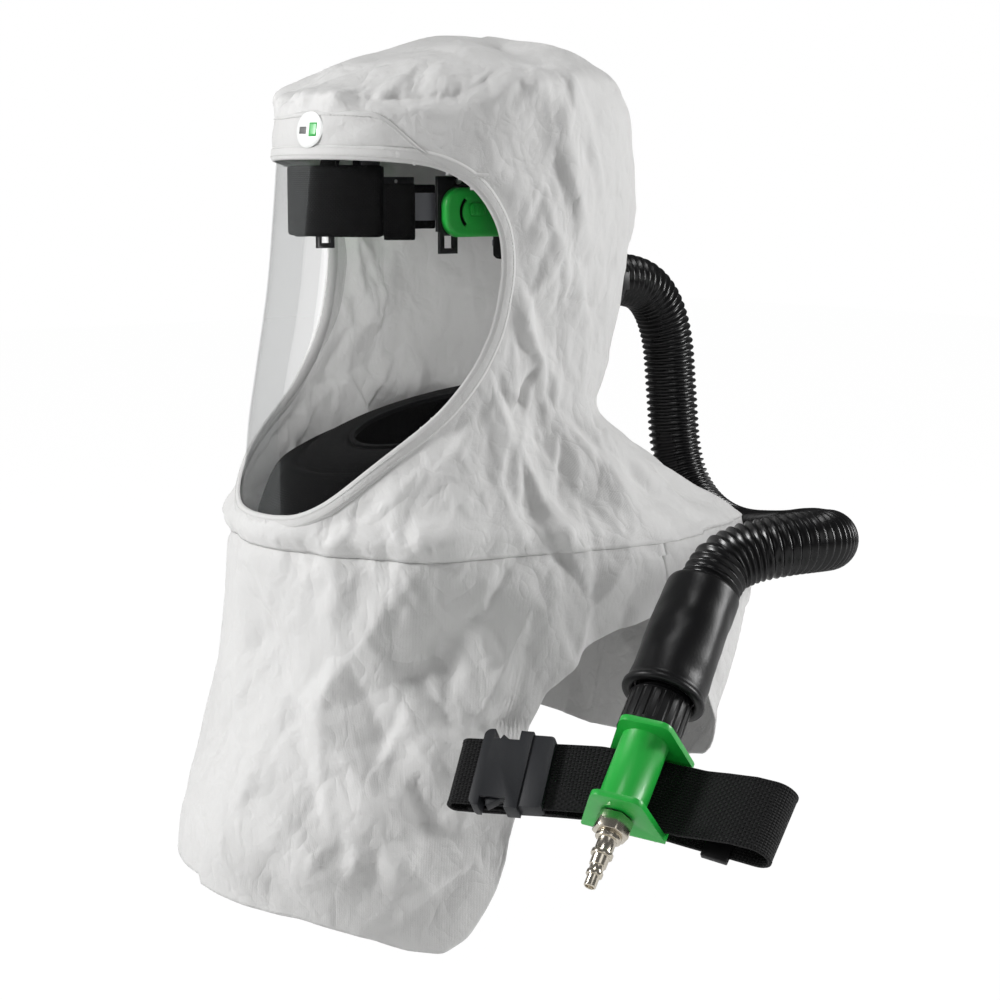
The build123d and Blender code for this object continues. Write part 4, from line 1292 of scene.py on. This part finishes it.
# Floor, lights and camera
def makeStage():
    size = 6
    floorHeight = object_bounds()[0].z - 0.012
    floorMaterial, tree, shader = newMaterial("paleFloor", (0.86, 0.86, 0.86), 0.9)
    mesh = bpy.data.meshes.new("paleFloor")
    mesh.from_pydata([(-size, -size, floorHeight), (size, -size, floorHeight), (size, size, floorHeight),
                      (-size, size, floorHeight)], [], [(0, 1, 2, 3)])
    floor = bpy.data.objects.new("paleFloor", mesh)
    bpy.context.scene.collection.objects.link(floor)
    mesh.materials.append(floorMaterial)
    glow = tree.nodes.new("ShaderNodeEmission")
    path = tree.nodes.new("ShaderNodeLightPath")
    glow.inputs["Strength"].default_value = 1.03
    seen = mathNode(tree, "MULTIPLY", path.outputs["Is Camera Ray"], 0.96)
    mix = tree.nodes.new("ShaderNodeMixShader")
    tree.links.new(seen, mix.inputs[0])
    tree.links.new(shader.outputs[0], mix.inputs[1])
    tree.links.new(glow.outputs[0], mix.inputs[2])
    tree.links.new(mix.outputs[0], tree.nodes["Material Output"].inputs["Surface"])
    world = bpy.data.worlds.new("paleRoom")
    bpy.context.scene.world = world
    world.use_nodes = True
    sky = world.node_tree.nodes["Background"]
    white = world.node_tree.nodes.new("ShaderNodeBackground")
    white.inputs["Color"].default_value = (1, 1, 1, 1)
    white.inputs["Strength"].default_value = 1.0
    sky.inputs["Color"].default_value = (1, 1, 1, 1)
    sky.inputs["Strength"].default_value = 0.12
    rays = world.node_tree.nodes.new("ShaderNodeLightPath")
    join = world.node_tree.nodes.new("ShaderNodeMixShader")
    world.node_tree.links.new(rays.outputs["Is Camera Ray"], join.inputs[0])
    world.node_tree.links.new(sky.outputs[0], join.inputs[1])
    world.node_tree.links.new(white.outputs[0], join.inputs[2])
    world.node_tree.links.new(join.outputs[0], world.node_tree.nodes["World Output"].inputs["Surface"])


lamps = {
    "keyLeft": {"place": (-0.9, -2.0, 0.9), "size": (0.4, 0.8), "watts": 53},
    "topSoft": {"place": (0.3, -0.2, 2.0), "size": (0.6, 0.6), "watts": 9},
    "sideRight": {"place": (1.5, 1.9, 0.5), "size": (0.5, 1.0), "watts": 42},
    "frontFill": {"place": (1.9, -0.7, 0.6), "size": (0.9, 0.9), "watts": 3},
    "insideFill": {"place": (0.05, -0.05, -0.08), "size": (0.05, 0.05), "watts": 0.17,
                   "aim": (-0.14, 0.05, -0.1)},
}


def makeLamps():
    for name, facts in lamps.items():
        light = bpy.data.lights.new(name, "AREA")
        light.shape = "RECTANGLE"
        light.size, light.size_y = facts["size"]
        light.energy = facts["watts"]
        lamp = bpy.data.objects.new(name, light)
        bpy.context.scene.collection.objects.link(lamp)
        lamp.location = facts["place"]
        aim = Vector(facts.get("aim", (0.06, 0.0, -0.2))) - Vector(facts["place"])
        lamp.rotation_euler = aim.to_track_quat("-Z", "Y").to_euler()


view = {"place": (1.2656, -0.9144, 0.0169), "target": (0.067, 0.022, -0.224), "lens": 72}


def makeCamera():
    data = bpy.data.cameras.new("camera")
    data.lens = view["lens"]
    data.sensor_width = 36
    data.clip_start = 0.05
    camera = bpy.data.objects.new("camera", data)
    bpy.context.scene.collection.objects.link(camera)
    camera.location = view["place"]
    aim = Vector(view["target"]) - Vector(view["place"])
    camera.rotation_euler = aim.to_track_quat("-Z", "Y").to_euler()
    bpy.context.scene.camera = camera


makeStage()
makeLamps()
makeCamera()
bpy.context.scene.view_settings.view_transform = "Standard"

print("scene ready")
